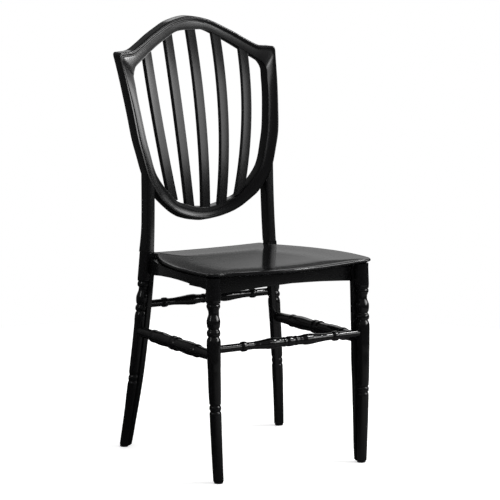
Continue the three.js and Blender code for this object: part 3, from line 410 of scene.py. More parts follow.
def makeSeat():
    outline = seatOutline()
    tray, depth, (across, up) = seat["trayInset"], seat["trayDepth"], seat["traySoftening"]
    # Out along the underside from the middle of the tray, then back over the top: inset, drop
    rows = [(seat["trayMiddle"], depth), (tray + across, depth), (tray, depth - up),
            (tray, seat["bearing"]), (seat["bearingInset"], seat["bearing"])]
    rows += [(inset, seat["lip"] - rise) for inset, rise in seat["lipUnder"]]
    insets = [row[0] for row in seat["top"]]
    insets = sorted(set(insets + [place for span in seat["topSteps"] for place in np.arange(*span)]))
    rows += zip(insets, smoothTable(seat["top"], insets))
    mesh = ringMesh("seatPanel", [seatRing(outline, inset, drop) for inset, drop in rows])
    finishPiece("seatPanel", mesh, seatFinish, "seat_panel")


makeSeat()
print("seat made")

# Legs: each is turned, with a square corner towards the middle of the chair on which the beads die.
# The corner's cheeks start at the cornerStart share of its reach. A leg with a topHeight ends there with
# a soft edge (inset, drop), and one without runs up to the seat.
legs = {
    "front": {
        "top": (176.3, -155.3), "foot": (173.1, frontFootY), "bow": (4.4, -1.3), "inward": 1,
        "topHeight": None, "cornerStart": [(0, 0.49), (362, 0.49), (371, 0.28), (412, 0.28)],
        "turning": [
            (2.9, 8.6, ""), (6.5, 10.9, "bead"), (57, 11.3, "line"), (107, 11.9, "line"), (144, 12.2, "line"),
            (149.4, 10.2, "bead"), (150.6, 10.2, "line"), (156.5, 12.3, "bead"), (161.8, 10.3, "bead"),
            (162.8, 10.3, "line"), (168.5, 12.2, "bead"), (181, 12.7, "ease"), (206, 13.2, "line"),
            (230, 13.4, "line"), (255, 14.0, "ease"), (290, 14.5, "ease"), (301, 11.6, "bead"),
            (303.5, 10.9, "line"), (310.5, 13.9, "bead"), (317, 11.2, "bead"), (319, 10.8, "line"),
            (335, 14.1, "bead"), (350, 10.1, "ease"), (354, 10.4, "line"), (361, 12.4, "ease"),
            (365.5, 14.0, "bead"), (370, 12.3, "bead"), (370.6, 12.3, "line"), (373.5, 14.6, "bead"),
            (380, 15.2, "ease"), (412, 15.2, "line")],
        "corner": [(2.9, 9.4), (6.5, 12), (90, 15.5), (166, 17.6), (230, 19.1), (300, 18.9), (364, 18.7),
                   (412, 18.5)],
    },
    "rear": {
        "top": rearLegTop, "foot": (195.3, 205.3), "bow": (-0.5, -8.2), "inward": -1, "topHeight": 427,
        "topEdge": [(0.15, 0.3), (0.7, 0)], "cornerStart": [(0, 0.28), (425.4, 0.28)],
        "turning": [
            (2.9, 8.55, ""), (6.5, 10.75, "bead"), (33, 11, "line"), (62, 11.2, "line"), (90, 11.5, "line"),
            (118, 12.2, "ease"), (141, 12.2, "line"), (146, 10.9, "bead"), (148.5, 10.9, "line"),
            (154, 12.1, "bead"), (159.5, 10.8, "bead"), (162.5, 10.9, "line"), (169, 12.4, "bead"),
            (192, 12.7, "line"), (230, 12.8, "line"), (272, 13.1, "line"), (287, 13.5, "ease"),
            (298.5, 11.5, "bead"), (301.5, 11.5, "line"), (307, 13.9, "bead"), (312.5, 12.0, "bead"),
            (315.5, 11.5, "line"), (330, 14.2, "bead"), (348, 10.5, "ease"), (352.5, 10.7, "line"),
            (358.5, 14.1, "bead"), (364, 12.8, "bead"), (364.8, 12.8, "line"), (369, 14.8, "bead"),
            (374, 15.0, "line"), (425.4, 15.0, "line")],
        "corner": [(2.9, 9.4), (6.5, 11.9), (59, 13.2), (112, 14.6), (165, 15.6), (218, 15.8), (290, 15.8),
                   (362, 15.5), (425.4, rearLegHalf)],
    },
}
legDatum = 440
cornerRounding = 2.6
flangeRounding = 0.9
widestOverlap = 0.7       # radians that the round runs on past the corner's axes behind its cheeks, at most


def legAxis(leg, side, z):
    t = 1 - z / legDatum
    x = leg["top"][0] + (leg["foot"][0] - leg["top"][0]) * t + leg["bow"][0] * 4 * t * (1 - t)
    y = leg["top"][1] + (leg["foot"][1] - leg["top"][1]) * t + leg["bow"][1] * 4 * t * (1 - t)
    return side * x, y


def legSection(radius, corner, cornerStart, arcSteps=60, cornerSteps=5, flangeSteps=3):
    start = corner * cornerStart
    flat = []
    for i in range(flangeSteps + 1):
        angle = (i / flangeSteps - 1) * math.pi / 2
        flat.append((corner - flangeRounding + flangeRounding * math.cos(angle),
                     start + flangeRounding + flangeRounding * math.sin(angle)))
    for i in range(cornerSteps + 1):
        angle = i / cornerSteps * math.pi / 2
        flat.append((corner - cornerRounding + cornerRounding * math.cos(angle),
                     corner - cornerRounding + cornerRounding * math.sin(angle)))
    flat += [(b, a) for a, b in flat[flangeSteps::-1]]
    overlap = min(math.asin(min(1, start / radius)), widestOverlap)
    for i in range(arcSteps + 1):
        angle = math.pi / 2 - overlap + i / arcSteps * (math.pi * 1.5 + 2 * overlap)
        flat.append((radius * math.cos(angle), radius * math.sin(angle)))
    return flat


def makeLeg(place, sideName):
    leg, side = legs[place], sides[sideName]
    startHeights, startShares = zip(*leg["cornerStart"])
    rings = []
    for z, radius in turnedProfile(leg["turning"]):
        axisX, axisY = legAxis(leg, side, z)
        corner = smoothTable(leg["corner"], [z])[0]
        section = legSection(radius, corner, np.interp(z, startHeights, startShares))
        rings.append([(axisX - side * a, axisY + leg["inward"] * b, z) for a, b in section])
    last = np.array(rings[-1])
    if leg["topHeight"]:
        axisX, axisY = legAxis(leg, side, leg["topHeight"])
        topRadius = leg["turning"][-1][1]
        for inset, drop in leg["topEdge"]:
            ring = last.copy()
            ring[:, 0] += (axisX - ring[:, 0]) * inset / topRadius
            ring[:, 1] += (axisY - ring[:, 1]) * inset / topRadius
            ring[:, 2] = leg["topHeight"] - drop
            rings.append(ring)
    else:
        ring = last.copy()
        ring[:, 2] = [underSeat(x, y) for x, y, _ in ring]
        rings.append(ring)
    name = f"{place}Leg{sideName.title()}"
    finishPiece(name, ringMesh(name, rings), polished, f"{place}_leg_{sideName}")


for place in legs:
    for sideName in sides:
        makeLeg(place, sideName)
print("legs made")

# Stretchers: half of each turned profile, in mm from its middle, mirrored by the node tree
stretcherTurning = {
    "cross": [
        (0, 10.7, ""), (6, 10.3, "bead"), (8.6, 9.0, "bead"), (9.4, 9.0, "line"), (11, 9.7, "bead"),
        (14.5, 10.2, "bead"), (17.6, 9.2, "bead"), (18.4, 9.2, "line"), (27, 9.7, "ease"), (39, 11.5, "ease"),
        (42.5, 11.5, "line"), (52, 11.1, "line"), (59, 10.2, "ease"), (73, 8.8, "line"), (88, 7.8, "ease"),
        (102, 7.8, "line"), (103, 8.6, "line"), (104.4, 9.6, "bead"), (111, 10.5, "bead"),
        (115.2, 9.8, "bead"), (116, 8.4, "line"), (117.5, 8.0, "line"), (160, 8.0, "line")],
    "side": [
        (0, 13.2, ""), (4, 14, "ease"), (9, 15, "bead"), (13.5, 13.8, "bead"), (14.3, 12.6, "line"),
        (22, 12.6, "line"), (36, 13.1, "line"), (54, 14.0, "ease"), (66, 14.2, "ease"), (80, 13.6, "ease"),
        (90, 12.9, "line"), (91, 12.1, "line"), (93, 13.1, "bead"), (98, 13.9, "bead"), (103, 12.9, "bead"),
        (104, 11.8, "line"), (120, 11.2, "line"), (150, 10.5, "line")],
}
stretchers = {
    "frontStretcher": {"node": "front_stretcher", "turning": "cross",
                       "ends": [("front", "left", 276), ("front", "right", 276)]},
    "rearStretcher": {"node": "rear_stretcher", "turning": "cross",
                      "ends": [("rear", "left", 313.5), ("rear", "right", 313.5)]},
    "sideStretcherLeft": {"node": "side_stretcher_left", "turning": "side",
                          "ends": [("front", "left", 262.8), ("rear", "left", 255.8)]},
    "sideStretcherRight": {"node": "side_stretcher_right", "turning": "side",
                           "ends": [("front", "right", 262.8), ("rear", "right", 255.8)]},
}
stretcherSink = 8         # how far a stretcher's end stays from the legs' axes


# Turns a half profile about a straight path: the float curve gives the radius as a share of the largest
def turningTree(name, rows):
    profile = turnedProfile(rows, 6)
    reach, largest = rows[-1][0], max(r for _, r in profile)
    sizes = {"Largest Radius": largest * mm, "Profile Reach": reach * mm, "Steps": 420, "Sides": 48}
    tree, given = openTree(name, sizes)
    line = addNode(tree, "GeometryNodeMeshToCurve", links={"Mesh": given["Path"]})
    fine = addNode(tree, "GeometryNodeResampleCurve",
                   links={"Curve": line.outputs[0], "Count": given["Steps"]})
    along = addNode(tree, "GeometryNodeSplineParameter")
    total = addNode(tree, "GeometryNodeSplineLength")
    half = addNode(tree, "ShaderNodeMath", {"operation": "MULTIPLY"}, {1: 0.5}, {0: total.outputs["Length"]})
    fromMiddle = addNode(tree, "ShaderNodeMath", {"operation": "SUBTRACT"},
                         links={0: along.outputs["Length"], 1: half.outputs[0]})
    distance = addNode(tree, "ShaderNodeMath", {"operation": "ABSOLUTE"}, links={0: fromMiddle.outputs[0]})
    share = addNode(tree, "ShaderNodeMath", {"operation": "DIVIDE", "use_clamp": True},
                    links={0: distance.outputs[0], 1: given["Profile Reach"]})
    curve = addNode(tree, "ShaderNodeFloatCurve", links={"Value": share.outputs[0]})
    points = curve.mapping.curves[0].points
    points[0].location = (0, profile[0][1] / largest)
    points[1].location = (1, profile[-1][1] / largest)
    for z, r in profile[1:-1]:
        points.new(z / reach, r / largest)
    for point in points:
        point.handle_type = "VECTOR"
    curve.mapping.update()
    radius = addNode(tree, "ShaderNodeMath", {"operation": "MULTIPLY"},
                     links={0: curve.outputs[0], 1: given["Largest Radius"]})
    circle = addNode(tree, "GeometryNodeCurvePrimitiveCircle", values={"Radius": 1.0},
                     links={"Resolution": given["Sides"]})
    skin = addNode(tree, "GeometryNodeCurveToMesh", values={"Fill Caps": True},
                   links={"Curve": fine.outputs[0], "Profile Curve": circle.outputs[0],
                          "Scale": radius.outputs[0]})
    closeTree(tree, given, skin.outputs[0])
    return tree, sizes


turningTrees = {kind: turningTree(f"turned {kind} stretcher", rows)
                for kind, rows in stretcherTurning.items()}
for name, row in stretchers.items():
    tree, sizes = turningTrees[row["turning"]]
    ends = []
    for place, sideName, height in row["ends"]:
        x, y = legAxis(legs[place], sides[sideName], height)
        ends.append(Vector((x, y, height)))
    along = (ends[1] - ends[0]).normalized()
    path = [toFrame(*(ends[0] + along * stretcherSink)), toFrame(*(ends[1] - along * stretcherSink))]
    finishPiece(name, treeMesh(name, tree, path, sizes, polished), polished, row["node"])
print("stretchers turned")

# Aprons: rounded bars under the seat, in mm. bottom is the height of the lower edge along the bar
aprons = {
    "thickness": 14, "rounding": 2.4,
    "front": {"endX": 162.8, "endY": -145.3, "bow": 26,
              "bottom": [(0, 398), (0.27, 396.4), (0.46, 394.5), (0.66, 391.5), (0.88, 387.6), (1, 385)]},
    "side": {"frontX": 190, "rearX": rearLegTop[0], "frontY": -150, "rearY": 165.7, "bulge": 21,
             "swell": [(0, 0), (0.1, 0.42), (0.25, 0.86), (0.4, 1), (0.55, 0.97), (0.7, 0.75), (0.85, 0.33),
                       (1, 0)],
             "bottom": [(0, 397.5), (0.08, 400.9), (0.15, 402.3), (0.23, 403.5), (0.3, 403.4), (0.41, 402.1),
                        (0.52, 399.3), (0.66, 394.6), (0.75, 390.4), (0.86, 384.8), (1, 379)]},
    "rear": {"endX": 141.3, "outerY": 185, "bottom": 393},
}


def apronRing(outer, inward, bottom, roundingSteps=5):
    t, r = aprons["thickness"], aprons["rounding"]
    low = [(0, bottom + r)]
    for i in range(1, roundingSteps):
        angle = i / roundingSteps * math.pi / 2
        low.append((r - r * math.cos(angle), bottom + r - r * math.sin(angle)))
    low += [(r, bottom), (t - r, bottom)]
    low += [(t - d, z) for d, z in low[roundingSteps - 1::-1]]
    ring = [(outer[0] + inward[0] * d, outer[1] + inward[1] * d, z) for d, z in low]
    for d in (t, t / 2, 0):
        x, y = outer[0] + inward[0] * d, outer[1] + inward[1] * d
        ring.append((x, y, underSeat(x, y)))
    return ring


def makeAprons(stops=64):
    shares = np.arange(stops + 1) / stops
    front, side, rear = aprons["front"], aprons["side"], aprons["rear"]
    across = 2 * shares - 1
    heights = smoothTable(front["bottom"], np.abs(across))
    rings = [apronRing((s * front["endX"], front["endY"] - front["bow"] * (1 - s * s)), (0, 1), h)
             for s, h in zip(across, heights)]
    finishPiece("frontApron", ringMesh("frontApron", rings), satin, "front_apron")
    rings = [apronRing((s * rear["endX"], rear["outerY"]), (0, -1), rear["bottom"]) for s in across]
    finishPiece("rearApron", ringMesh("rearApron", rings), satin, "rear_apron")
    swell = smoothTable(side["swell"], shares)
    heights = smoothTable(side["bottom"], shares)
    for sideName, sign in sides.items():
        rings = []
        for s, out, h in zip(shares, swell, heights):
            x = side["frontX"] + (side["rearX"] - side["frontX"]) * s + side["bulge"] * out
            y = side["frontY"] + (side["rearY"] - side["frontY"]) * s
            rings.append(apronRing((sign * x, y), (-sign, 0), h))
        name = f"sideApron{sideName.title()}"
        finishPiece(name, ringMesh(name, rings), satin, f"side_apron_{sideName}")


makeAprons()
print("aprons made")

# Shield: matching shares of the half width and height on the outer and the inner edge, from the crest
shield = {
    "foot": 485, "crest": 920, "halfWidth": 192, "frontY": 186, "reclineStart": 500, "recline": 75.7,
    "ear": 840, "lowerBow": 600, "earBow": 18.4, "lowBow": 35.4, "depth": 29.5,
    # The bottom rail is undercut at its back, behind this depth and out to this share of the half width
    "undercut": 6, "undercutBehind": 2, "undercutShare": 0.64,
    "edges": [
        (0, 1, 0, 0.933), (0.125, 0.993, 0.115, 0.932), (0.271, 0.975, 0.214, 0.924),
        (0.411, 0.945, 0.344, 0.895), (0.547, 0.913, 0.479, 0.862), (0.677, 0.878, 0.625, 0.821),
        (0.8125, 0.847, 0.75, 0.785), (0.93, 0.841, 0.807, 0.768), (0.974, 0.84, 0.826, 0.756),
        (0.994, 0.834, 0.838, 0.746), (1, 0.822, 0.846, 0.735),
        (0.992, 0.79, 0.851, 0.72), (0.979, 0.733, 0.842, 0.675), (0.961, 0.65, 0.833, 0.62),
        (0.935, 0.54, 0.813, 0.545), (0.905, 0.425, 0.779, 0.435), (0.859, 0.338, 0.742, 0.359),
        (0.81, 0.257, 0.701, 0.285), (0.755, 0.202, 0.651, 0.234), (0.641, 0.129, 0.557, 0.177),
        (0.568, 0.099, 0.484, 0.143), (0.495, 0.074, 0.417, 0.113), (0.427, 0.053, 0.365, 0.099),
        (0.333, 0.032, 0.302, 0.089), (0.208, 0.014, 0.177, 0.071), (0.104, 0.005, 0.089, 0.063),
        (0, 0, 0, 0.06)],
    # Moulding from the outer edge: inset, depth. A bead, its slope and the sunk field
    "shoulder": 1.6, "bead": 2.6,
    "slope": [(4, -1), (5.4, -0.92), (6.2, -0.62), (7.1, -0.15), (7.9, 0.18), (8.7, 0.44), (9.6, 0.66)],
    # Rise per mm towards the inner edge, at the field's start, at its end and on the margin: the field is
    # hollow on the stiles and round on the crest
    "rises": {"stile": (-0.22, 0.08, 0.15), "crest": (0.13, 0.07, 0.03)},
    "marginWidth": 6, "marginShares": (0.3, 0.6, 0.85), "innerEdge": [(0.3, 0.15), (0, 0.8)],
    # The crest starts where the way inwards points this much down, and is whole where it points that much
    "crestStart": 0.25, "crestWhole": 0.75, "blending": 300,   # passes that soften the change
    "backEdge": [(2.2, 0), (1.1, 0.3), (0.3, 1.1), (0, 2.2)],
}


def reclineAt(z):
    rise = np.maximum(z - shield["reclineStart"], 0) / (shield["crest"] - shield["reclineStart"])
    return shield["recline"] * rise * rise


def shieldFace(x, z):
    perHeight = (shield["lowBow"] - shield["earBow"]) / (shield["ear"] - shield["lowerBow"])
    bow = shield["earBow"] + (shield["ear"] - z) * perHeight
    return shield["frontY"] + reclineAt(z) - bow * (x / shield["halfWidth"]) ** 2


def shieldStations(steps=8):
    height = shield["crest"] - shield["foot"]
    outer = [(a * shield["halfWidth"], shield["foot"] + b * height) for a, b, _, _ in shield["edges"]]
    inner = [(a * shield["halfWidth"], shield["foot"] + b * height) for _, _, a, b in shield["edges"]]
    # Mirrored ends keep the curve level where it crosses the middle
    outer = [(-outer[1][0], outer[1][1])] + outer + [(-outer[-2][0], outer[-2][1])]
    inner = [(-inner[1][0], inner[1][1])] + inner + [(-inner[-2][0], inner[-2][1])]
    cut = slice(steps, -steps)
    return smoothPath(outer, steps)[cut], smoothPath(inner, steps)[cut]


# Section of the frame: distance from the outer edge, depth behind the front face
def frameSection(width, crestShare, fieldSteps=7, beadSteps=8):
    depth, bead, shoulder = shield["depth"], shield["bead"], shield["shoulder"]
    section = [(inset, depth - rise) for inset, rise in shield["backEdge"]]
    for i in range(beadSteps + 1):
        angle = i / beadSteps * math.pi / 2
        section.append((bead - bead * math.cos(angle), shoulder - bead * math.sin(angle)))
    section += shield["slope"]
    start, deep = section[-1]
    margin = shield["marginWidth"]
    field = width - margin - start
    first, last, marginRise = (a + (b - a) * crestShare for a, b in zip(*shield["rises"].values()))
    for i in range(1, fieldSteps + 1):
        share = i / fieldSteps
        rise = field * (first * share + (last - first) / 2 * share ** 2)
        section.append((start + field * share, deep - rise))
    edge = section[-1][1]
    for share in shield["marginShares"]:
        section.append((width - margin * (1 - share), edge - margin * marginRise * share))
    top = section[-1][1]
    section += [(width - inset, top + drop) for inset, drop in shield["innerEdge"]]
    return section + [(width - inset, depth - rise) for inset, rise in shield["backEdge"][::-1]]


def makeShield():
    outer, inner = shieldStations()
    outer = np.vstack([outer, outer[-2:0:-1] * [-1, 1]])
    inner = np.vstack([inner, inner[-2:0:-1] * [-1, 1]])
    widths = np.linalg.norm(inner - outer, axis=1)
    acrosses = (inner - outer) / widths[:, None]
    crestSpan = shield["crestWhole"] - shield["crestStart"]
    crestShares = np.clip((-acrosses[:, 1] - shield["crestStart"]) / crestSpan, 0, 1)
    for _ in range(shield["blending"]):
        crestShares = (np.roll(crestShares, 1) + 2 * crestShares + np.roll(crestShares, -1)) / 4
    frontLand = shield["undercutBehind"]
    rings = []
    for o, i, width, across, crestShare in zip(outer, inner, widths, acrosses, crestShares):
        low = max(0, 1 - abs(o[0]) / (shield["halfWidth"] * shield["undercutShare"]))
        rail = min(1, 2 * low) if o[1] < shield["lowerBow"] else 0
        ring = []
        for inset, depth in frameSection(width, crestShare):
            x, z = o + across * inset
            back = max(0, (depth - frontLand) / (shield["depth"] - frontLand)) * (1 - inset / width)
            face = shieldFace(x, z)
            if depth > shield["depth"] / 2:
                face = (face + shieldFace((o[0] + i[0]) / 2, z)) / 2
            ring.append((x, face + depth, z - shield["undercut"] * rail * back))
        rings.append(ring)
    mesh = ringMesh("shieldFrame", rings, isLoop=True, sharpAngle=30)
    finishPiece("shieldFrame", mesh, satin, "shield_frame")


makeShield()
print("shield frame made")

# Slats: swept inwards below, in mm. Each piece has its node, its x at the top and its sweep
slats = {
    "width": 20.4, "depth": 12.2, "rounding": 1.2, "hollow": 0.32, "setback": 1, "bow": 20.3, "facing": 0.8,
    "sweepStart": 860, "tenon": 6,
    "pieces": {
        "slatOuterLeft": ("slat_outer_left", -118.6, 48.5), "slatInnerLeft": ("slat_inner_left", -59.1, 23),
        "slatCentre": ("slat_centre", 0, 0), "slatInnerRight": ("slat_inner_right", 59.1, 23),
        "slatOuterRight": ("slat_outer_right", 118.6, 48.5)},
}
bowTurning = 2 * slats["bow"] / shield["halfWidth"] ** 2 / mm     # slope of the bow per metre off the middle
slatSizes = {
    "Width": slats["width"] * mm, "Depth": slats["depth"] * mm, "Rounding": slats["rounding"] * mm,
    "Hollow": slats["hollow"] * mm, "Turning": -bowTurning * slats["facing"], "Section Points": 120,
}


# A path swept with a soft-cornered rectangle, whose hollow front turns towards the middle with the bow
def slatTree():
    tree, given = openTree("moulded slat", slatSizes)
    line = addNode(tree, "GeometryNodeMeshToCurve", links={"Mesh": given["Path"]})
    position = addNode(tree, "GeometryNodeInputPosition").outputs[0]
    place = addNode(tree, "ShaderNodeSeparateXYZ", links={0: position})
    turn = addNode(tree, "ShaderNodeMath", {"operation": "MULTIPLY"},
                   links={0: place.outputs["X"], 1: given["Turning"]})
    facing = addNode(tree, "ShaderNodeCombineXYZ", values={"Y": -1.0}, links={"X": turn.outputs[0]})
    faced = addNode(tree, "GeometryNodeSetCurveNormal", {"mode": "FREE"}, None,
                    {"Curve": line.outputs[0], "Normal": facing.outputs[0]})
    plate = addNode(tree, "GeometryNodeCurvePrimitiveQuadrilateral",
                    links={"Width": given["Depth"], "Height": given["Width"]})
    soft = addNode(tree, "GeometryNodeFilletCurve", {"mode": "POLY"}, {"Count": 8},
                   {"Curve": plate.outputs[0], "Radius": given["Rounding"]})
    fine = addNode(tree, "GeometryNodeResampleCurve",
                   links={"Curve": soft.outputs[0], "Count": given["Section Points"]})
    # The section's front side sinks in a parabola that is 0 at both edges
    spot = addNode(tree, "ShaderNodeSeparateXYZ", links={0: position})
    isFront = addNode(tree, "ShaderNodeMath", {"operation": "GREATER_THAN"}, {1: 0.0}, {0: spot.outputs["X"]})
    across = addNode(tree, "ShaderNodeMath", {"operation": "DIVIDE"},
                     links={0: spot.outputs["Y"], 1: given["Width"]})
    square = addNode(tree, "ShaderNodeMath", {"operation": "MULTIPLY"},
                     links={0: across.outputs[0], 1: across.outputs[0]})
    rest = addNode(tree, "ShaderNodeMath", {"operation": "MULTIPLY_ADD"}, {1: 4.0, 2: -1.0},
                   {0: square.outputs[0]})
    sunk = addNode(tree, "ShaderNodeMath", {"operation": "MULTIPLY"},
                   links={0: rest.outputs[0], 1: given["Hollow"]})
    front = addNode(tree, "ShaderNodeMath", {"operation": "MULTIPLY"},
                    links={0: sunk.outputs[0], 1: isFront.outputs[0]})
    move = addNode(tree, "ShaderNodeCombineXYZ", links={"X": front.outputs[0]})
    section = addNode(tree, "GeometryNodeSetPosition",
                      links={"Geometry": fine.outputs[0], "Offset": move.outputs[0]})
    skin = addNode(tree, "GeometryNodeCurveToMesh", values={"Fill Caps": True},
                   links={"Curve": faced.outputs[0], "Profile Curve": section.outputs[0]})
    closeTree(tree, given, skin.outputs[0])
    return tree


def slatX(topX, sweep, z):
    start = slats["sweepStart"]
    down = np.maximum(0, (start - z) / (start - shield["foot"]))
    return np.sign(topX) * (abs(topX) - sweep * down * down)


def slatPath(topX, sweep, steps=60, meetingSteps=12):
    _, inner = shieldStations()
    middle = (shield["crest"] + shield["foot"]) / 2
    crest = inner[inner[:, 1] > middle]
    rail = inner[inner[:, 1] <= middle]
    rail = rail[np.argsort(rail[:, 0])]
    top = np.interp(abs(topX), crest[:, 0], crest[:, 1]) + slats["tenon"]
    foot = shield["foot"]
    for _ in range(meetingSteps):       # the sweep and the rail's curve meet well within these
        foot = np.interp(abs(slatX(topX, sweep, foot)), rail[:, 0], rail[:, 1])
    heights = np.linspace(foot - slats["tenon"], top, steps)
    path = []
    for z in heights:
        x = slatX(topX, sweep, z)
        bow = slats["bow"] * (x / shield["halfWidth"]) ** 2
        y = shield["frontY"] + reclineAt(z) - bow + slats["setback"] + slats["depth"] / 2
        path.append(toFrame(x, y, z))
    return path


tree = slatTree()
for name, (node, topX, sweep) in slats["pieces"].items():
    mesh = treeMesh(name, tree, slatPath(topX, sweep), slatSizes, satin, sharpAngle=60)
    finishPiece(name, mesh, satin, node)
print("slats made")

# Back posts: coped to the shield's outer edge
posts = {"width": 19, "depth": 29.5, "rounding": 2.2, "nose": 1.2, "foot": 427.3, "top": 602, "datum": 440,
         "topX": 146.7, "leanIn": 3.9, "bottomY": 175, "leanBack": 4.4,
         # The foot flares outwards, most at its rear outer corner
         "flare": 4.8, "flareHeight": 60, "flarePower": 1.6,
         # The stretch of the shield's edge that the top is coped to, and how far it goes in
         "copeBelow": 700, "copeOutside": 110, "copeDepth": 1.5}


def makePost(sideName, stops=40):
    side = sides[sideName]
    edge, _ = shieldStations()
    flank = edge[(edge[:, 1] < posts["copeBelow"]) & (edge[:, 0] > posts["copeOutside"])][::-1]
    section = softRectangle(posts["width"], posts["depth"] - posts["nose"], posts["rounding"])
    rings = []
    for step in np.linspace(0, 1, stops):
        ring = []
        for across, deep in section:
            end = np.interp(posts["topX"] + side * across, flank[:, 0], flank[:, 1]) + posts["copeDepth"]
            z = posts["foot"] + (end - posts["foot"]) * step
            t = (z - posts["datum"]) / (posts["top"] - posts["datum"])
            x = posts["topX"] + posts["leanIn"] * (1 - t) ** 2
            y = posts["bottomY"] + posts["leanBack"] * t + posts["nose"] / 2
            nose = posts["nose"] * (1 - (2 * across / posts["width"]) ** 2) if deep < 0 else 0
            low = max(0, 1 - (z - posts["foot"]) / posts["flareHeight"])
            outer = max(0, side * across) / (posts["width"] / 2)
            flare = side * posts["flare"] * low ** posts["flarePower"] * outer * (0.5 + deep / posts["depth"])
            ring.append((side * x + across + flare, y + deep - nose, z))
        rings.append(ring)
    name = f"backPost{sideName.title()}"
    finishPiece(name, ringMesh(name, rings, sharpAngle=50), satin, f"back_post_{sideName}")


for sideName in sides:
    makePost(sideName)
print("posts made")

# What the frame already gives in its right shape keeps it and gets its finish
for name, node in nodes.items():
    if node.hide_render:
        continue
    material = zinc if name.startswith(("corner_bolt", "seat_screw")) else nylon
    node.data.materials.clear()
    node.data.materials.append(material)
print("hardware finished")

# Stage: a pale floor that keeps the chair's shadow, white as the backdrop to the camera
stage = {"floorRadius": 1.5, "floorColour": "#f4f4f4", "floorGlow": 0.5,
         # The chair's gloss sees the floor in darker painted tones, with painted shade on the side away from
         # the key light
         "mirroredPaintedLit": "#727272", "mirroredPaintedShade": "#181818",
         "keyDirection": (0.75, -0.66, 0), "mirroredSpan": (-0.2, 0.6)}


def makeFloor():
    mesh = bpy.data.meshes.new("paleFloor")
    disc = bmesh.new()
    bmesh.ops.create_circle(disc, cap_ends=True, segments=128, radius=stage["floorRadius"])
    disc.to_mesh(mesh)
    disc.free()
    floor = bpy.data.objects.new("paleFloor", mesh)
    scene.collection.objects.link(floor)
    material, tree = newMaterial("paleStudioFloor")
    seen = addNode(tree, "ShaderNodeLightPath")
    place = addNode(tree, "ShaderNodeTexCoord").outputs["Object"]
    towardsKey = addNode(tree, "ShaderNodeVectorMath", {"operation": "DOT_PRODUCT"},
                         {1: stage["keyDirection"]}, {0: place})
    near = addNode(tree, "ShaderNodeMapRange", {"interpolation_type": "SMOOTHSTEP"},
                   {"From Min": stage["mirroredSpan"][0], "From Max": stage["mirroredSpan"][1]},
                   {"Value": towardsKey.outputs["Value"]})
    # Painted light and painted shade on the floor as the chair's gloss sees it: lighter towards the key
    # light, darker away from it
    mirrored = addNode(tree, "ShaderNodeMix", {"data_type": "RGBA"},
                       {6: linearColour(stage["mirroredPaintedShade"]), 7: linearColour(stage["mirroredPaintedLit"])},
                       {0: near.outputs[0]})
    tone = addNode(tree, "ShaderNodeMix", {"data_type": "RGBA"}, {6: linearColour(stage["floorColour"])},
                   {0: seen.outputs["Is Glossy Ray"], 7: mirrored.outputs[2]})
    matt = addNode(tree, "ShaderNodeBsdfDiffuse", links={"Color": tone.outputs[2]})
    lift = addNode(tree, "ShaderNodeMath", {"operation": "MULTIPLY"}, {1: stage["floorGlow"]},
                   {0: seen.outputs["Is Camera Ray"]})
    glow = addNode(tree, "ShaderNodeEmission", links={"Strength": lift.outputs[0]})
    both = addNode(tree, "ShaderNodeAddShader", links={0: matt.outputs[0], 1: glow.outputs[0]})
    addNode(tree, "ShaderNodeOutputMaterial", links={"Surface": both.outputs[0]})
    mesh.materials.append(material)


# The world is white to the camera and fills the shadows evenly, while gloss sees a dim room
world = {"fill": 0.55, "roomLow": 0.04, "roomHigh": 0.12, "roomSpan": (-0.1, 0.5)}


def makeWorld():
    scene.world = bpy.data.worlds.new("studio")
    scene.world.use_nodes = True
    tree = scene.world.node_tree
    tree.nodes.clear()
    seen = addNode(tree, "ShaderNodeLightPath")
    place = addNode(tree, "ShaderNodeTexCoord")
    parts = addNode(tree, "ShaderNodeSeparateXYZ", links={0: place.outputs["Generated"]})
    room = addNode(tree, "ShaderNodeMapRange", {"interpolation_type": "SMOOTHSTEP"},
                   {"From Min": world["roomSpan"][0], "From Max": world["roomSpan"][1],
                    "To Min": world["roomLow"], "To Max": world["roomHigh"]}, {"Value": parts.outputs["Z"]})
    mirrored = addNode(tree, "ShaderNodeMath", {"operation": "MAXIMUM"},
                       links={0: seen.outputs["Is Glossy Ray"], 1: seen.outputs["Is Transmission Ray"]})
    light = addNode(tree, "ShaderNodeMix", {"data_type": "FLOAT"}, {2: world["fill"]},
                    {0: mirrored.outputs[0], 3: room.outputs[0]})
    final = addNode(tree, "ShaderNodeMix", {"data_type": "FLOAT"}, {3: 1.0},
                    {0: seen.outputs["Is Camera Ray"], 2: light.outputs[0]})
    back = addNode(tree, "ShaderNodeBackground", values={"Color": (1, 1, 1, 1)},
                   links={"Strength": final.outputs[0]})
    addNode(tree, "ShaderNodeOutputWorld", links={"Surface": back.outputs[0]})


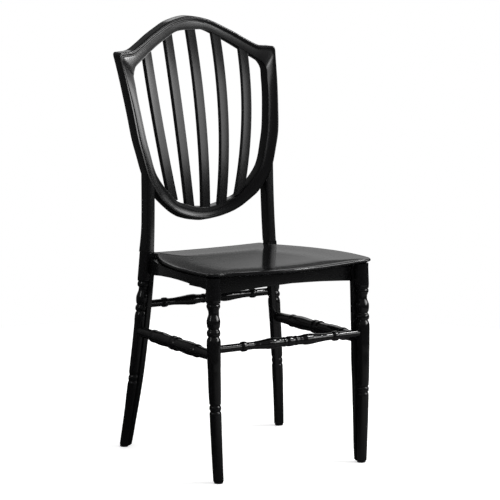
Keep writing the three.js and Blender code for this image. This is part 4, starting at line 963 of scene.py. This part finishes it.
# Softboxes round the chair: azimuth from its front towards the viewer's right, elevation of the middle,
# size, and brightness of the panel, where the white backdrop has 1
lamps = {
    "keyRight": {"azimuth": 42, "elevation": 15.5, "size": (1.75, 1.3), "brightness": 3.1},
    "keyCore": {"azimuth": 61, "elevation": 20, "size": (1.7, 0.95), "brightness": 5.0},
    "hotRight": {"azimuth": 56, "elevation": 48, "size": (0.5, 0.5), "brightness": 40.0},
    "stripLeft": {"azimuth": -84, "elevation": 20, "size": (0.35, 1.2), "brightness": 4.5},
    "backdropGlow": {"azimuth": 146, "elevation": 26, "size": (1.6, 0.9), "brightness": 1.0},
    "backdropLow": {"azimuth": 146, "elevation": 10.8, "size": (1.6, 0.5), "brightness": 0.44},
}
lampDistance = 3.0
lampTarget = Vector((0, 0, 0.5))


def makeLamps():
    for name, lamp in lamps.items():
        light = bpy.data.lights.new(name, "AREA")
        light.shape = "RECTANGLE"
        light.size, light.size_y = lamp["size"]
        light.energy = lamp["brightness"] * math.pi * light.size * light.size_y
        holder = bpy.data.objects.new(name, light)
        scene.collection.objects.link(holder)
        a, e = math.radians(lamp["azimuth"]), math.radians(lamp["elevation"])
        out = Vector((math.sin(a) * math.cos(e), -math.cos(a) * math.cos(e), math.sin(e)))
        holder.location = lampTarget + out * lampDistance
        holder.rotation_euler = out.to_track_quat("Z", "Y").to_euler()


# Camera: solved from the photograph, 4.95 m away and 1.25 m high on a long lens
view = {"azimuth": -30.31, "pitch": 9.26, "away": 4954.72, "height": 1251.08, "lens": 171.84}


def makeCamera():
    camera = bpy.data.cameras.new("studioCamera")
    camera.lens = view["lens"]
    camera.sensor_width = 36
    camera.clip_end = 100
    holder = bpy.data.objects.new("studioCamera", camera)
    scene.collection.objects.link(holder)
    a, p = math.radians(view["azimuth"]), math.radians(view["pitch"])
    back = Vector((math.sin(a) * math.cos(p), -math.cos(a) * math.cos(p), math.sin(p)))
    right = Vector((math.cos(a), math.sin(a), 0))
    up = back.cross(right)
    turn = Matrix((right, up, back)).transposed().to_4x4()
    place = toFrame(view["away"] * math.sin(a), -view["away"] * math.cos(a), view["height"])
    holder.matrix_world = Matrix.Translation(place) @ turn
    scene.camera = holder


makeFloor()
makeWorld()
makeLamps()
makeCamera()
scene.view_settings.view_transform = "Standard"
print("stage set")
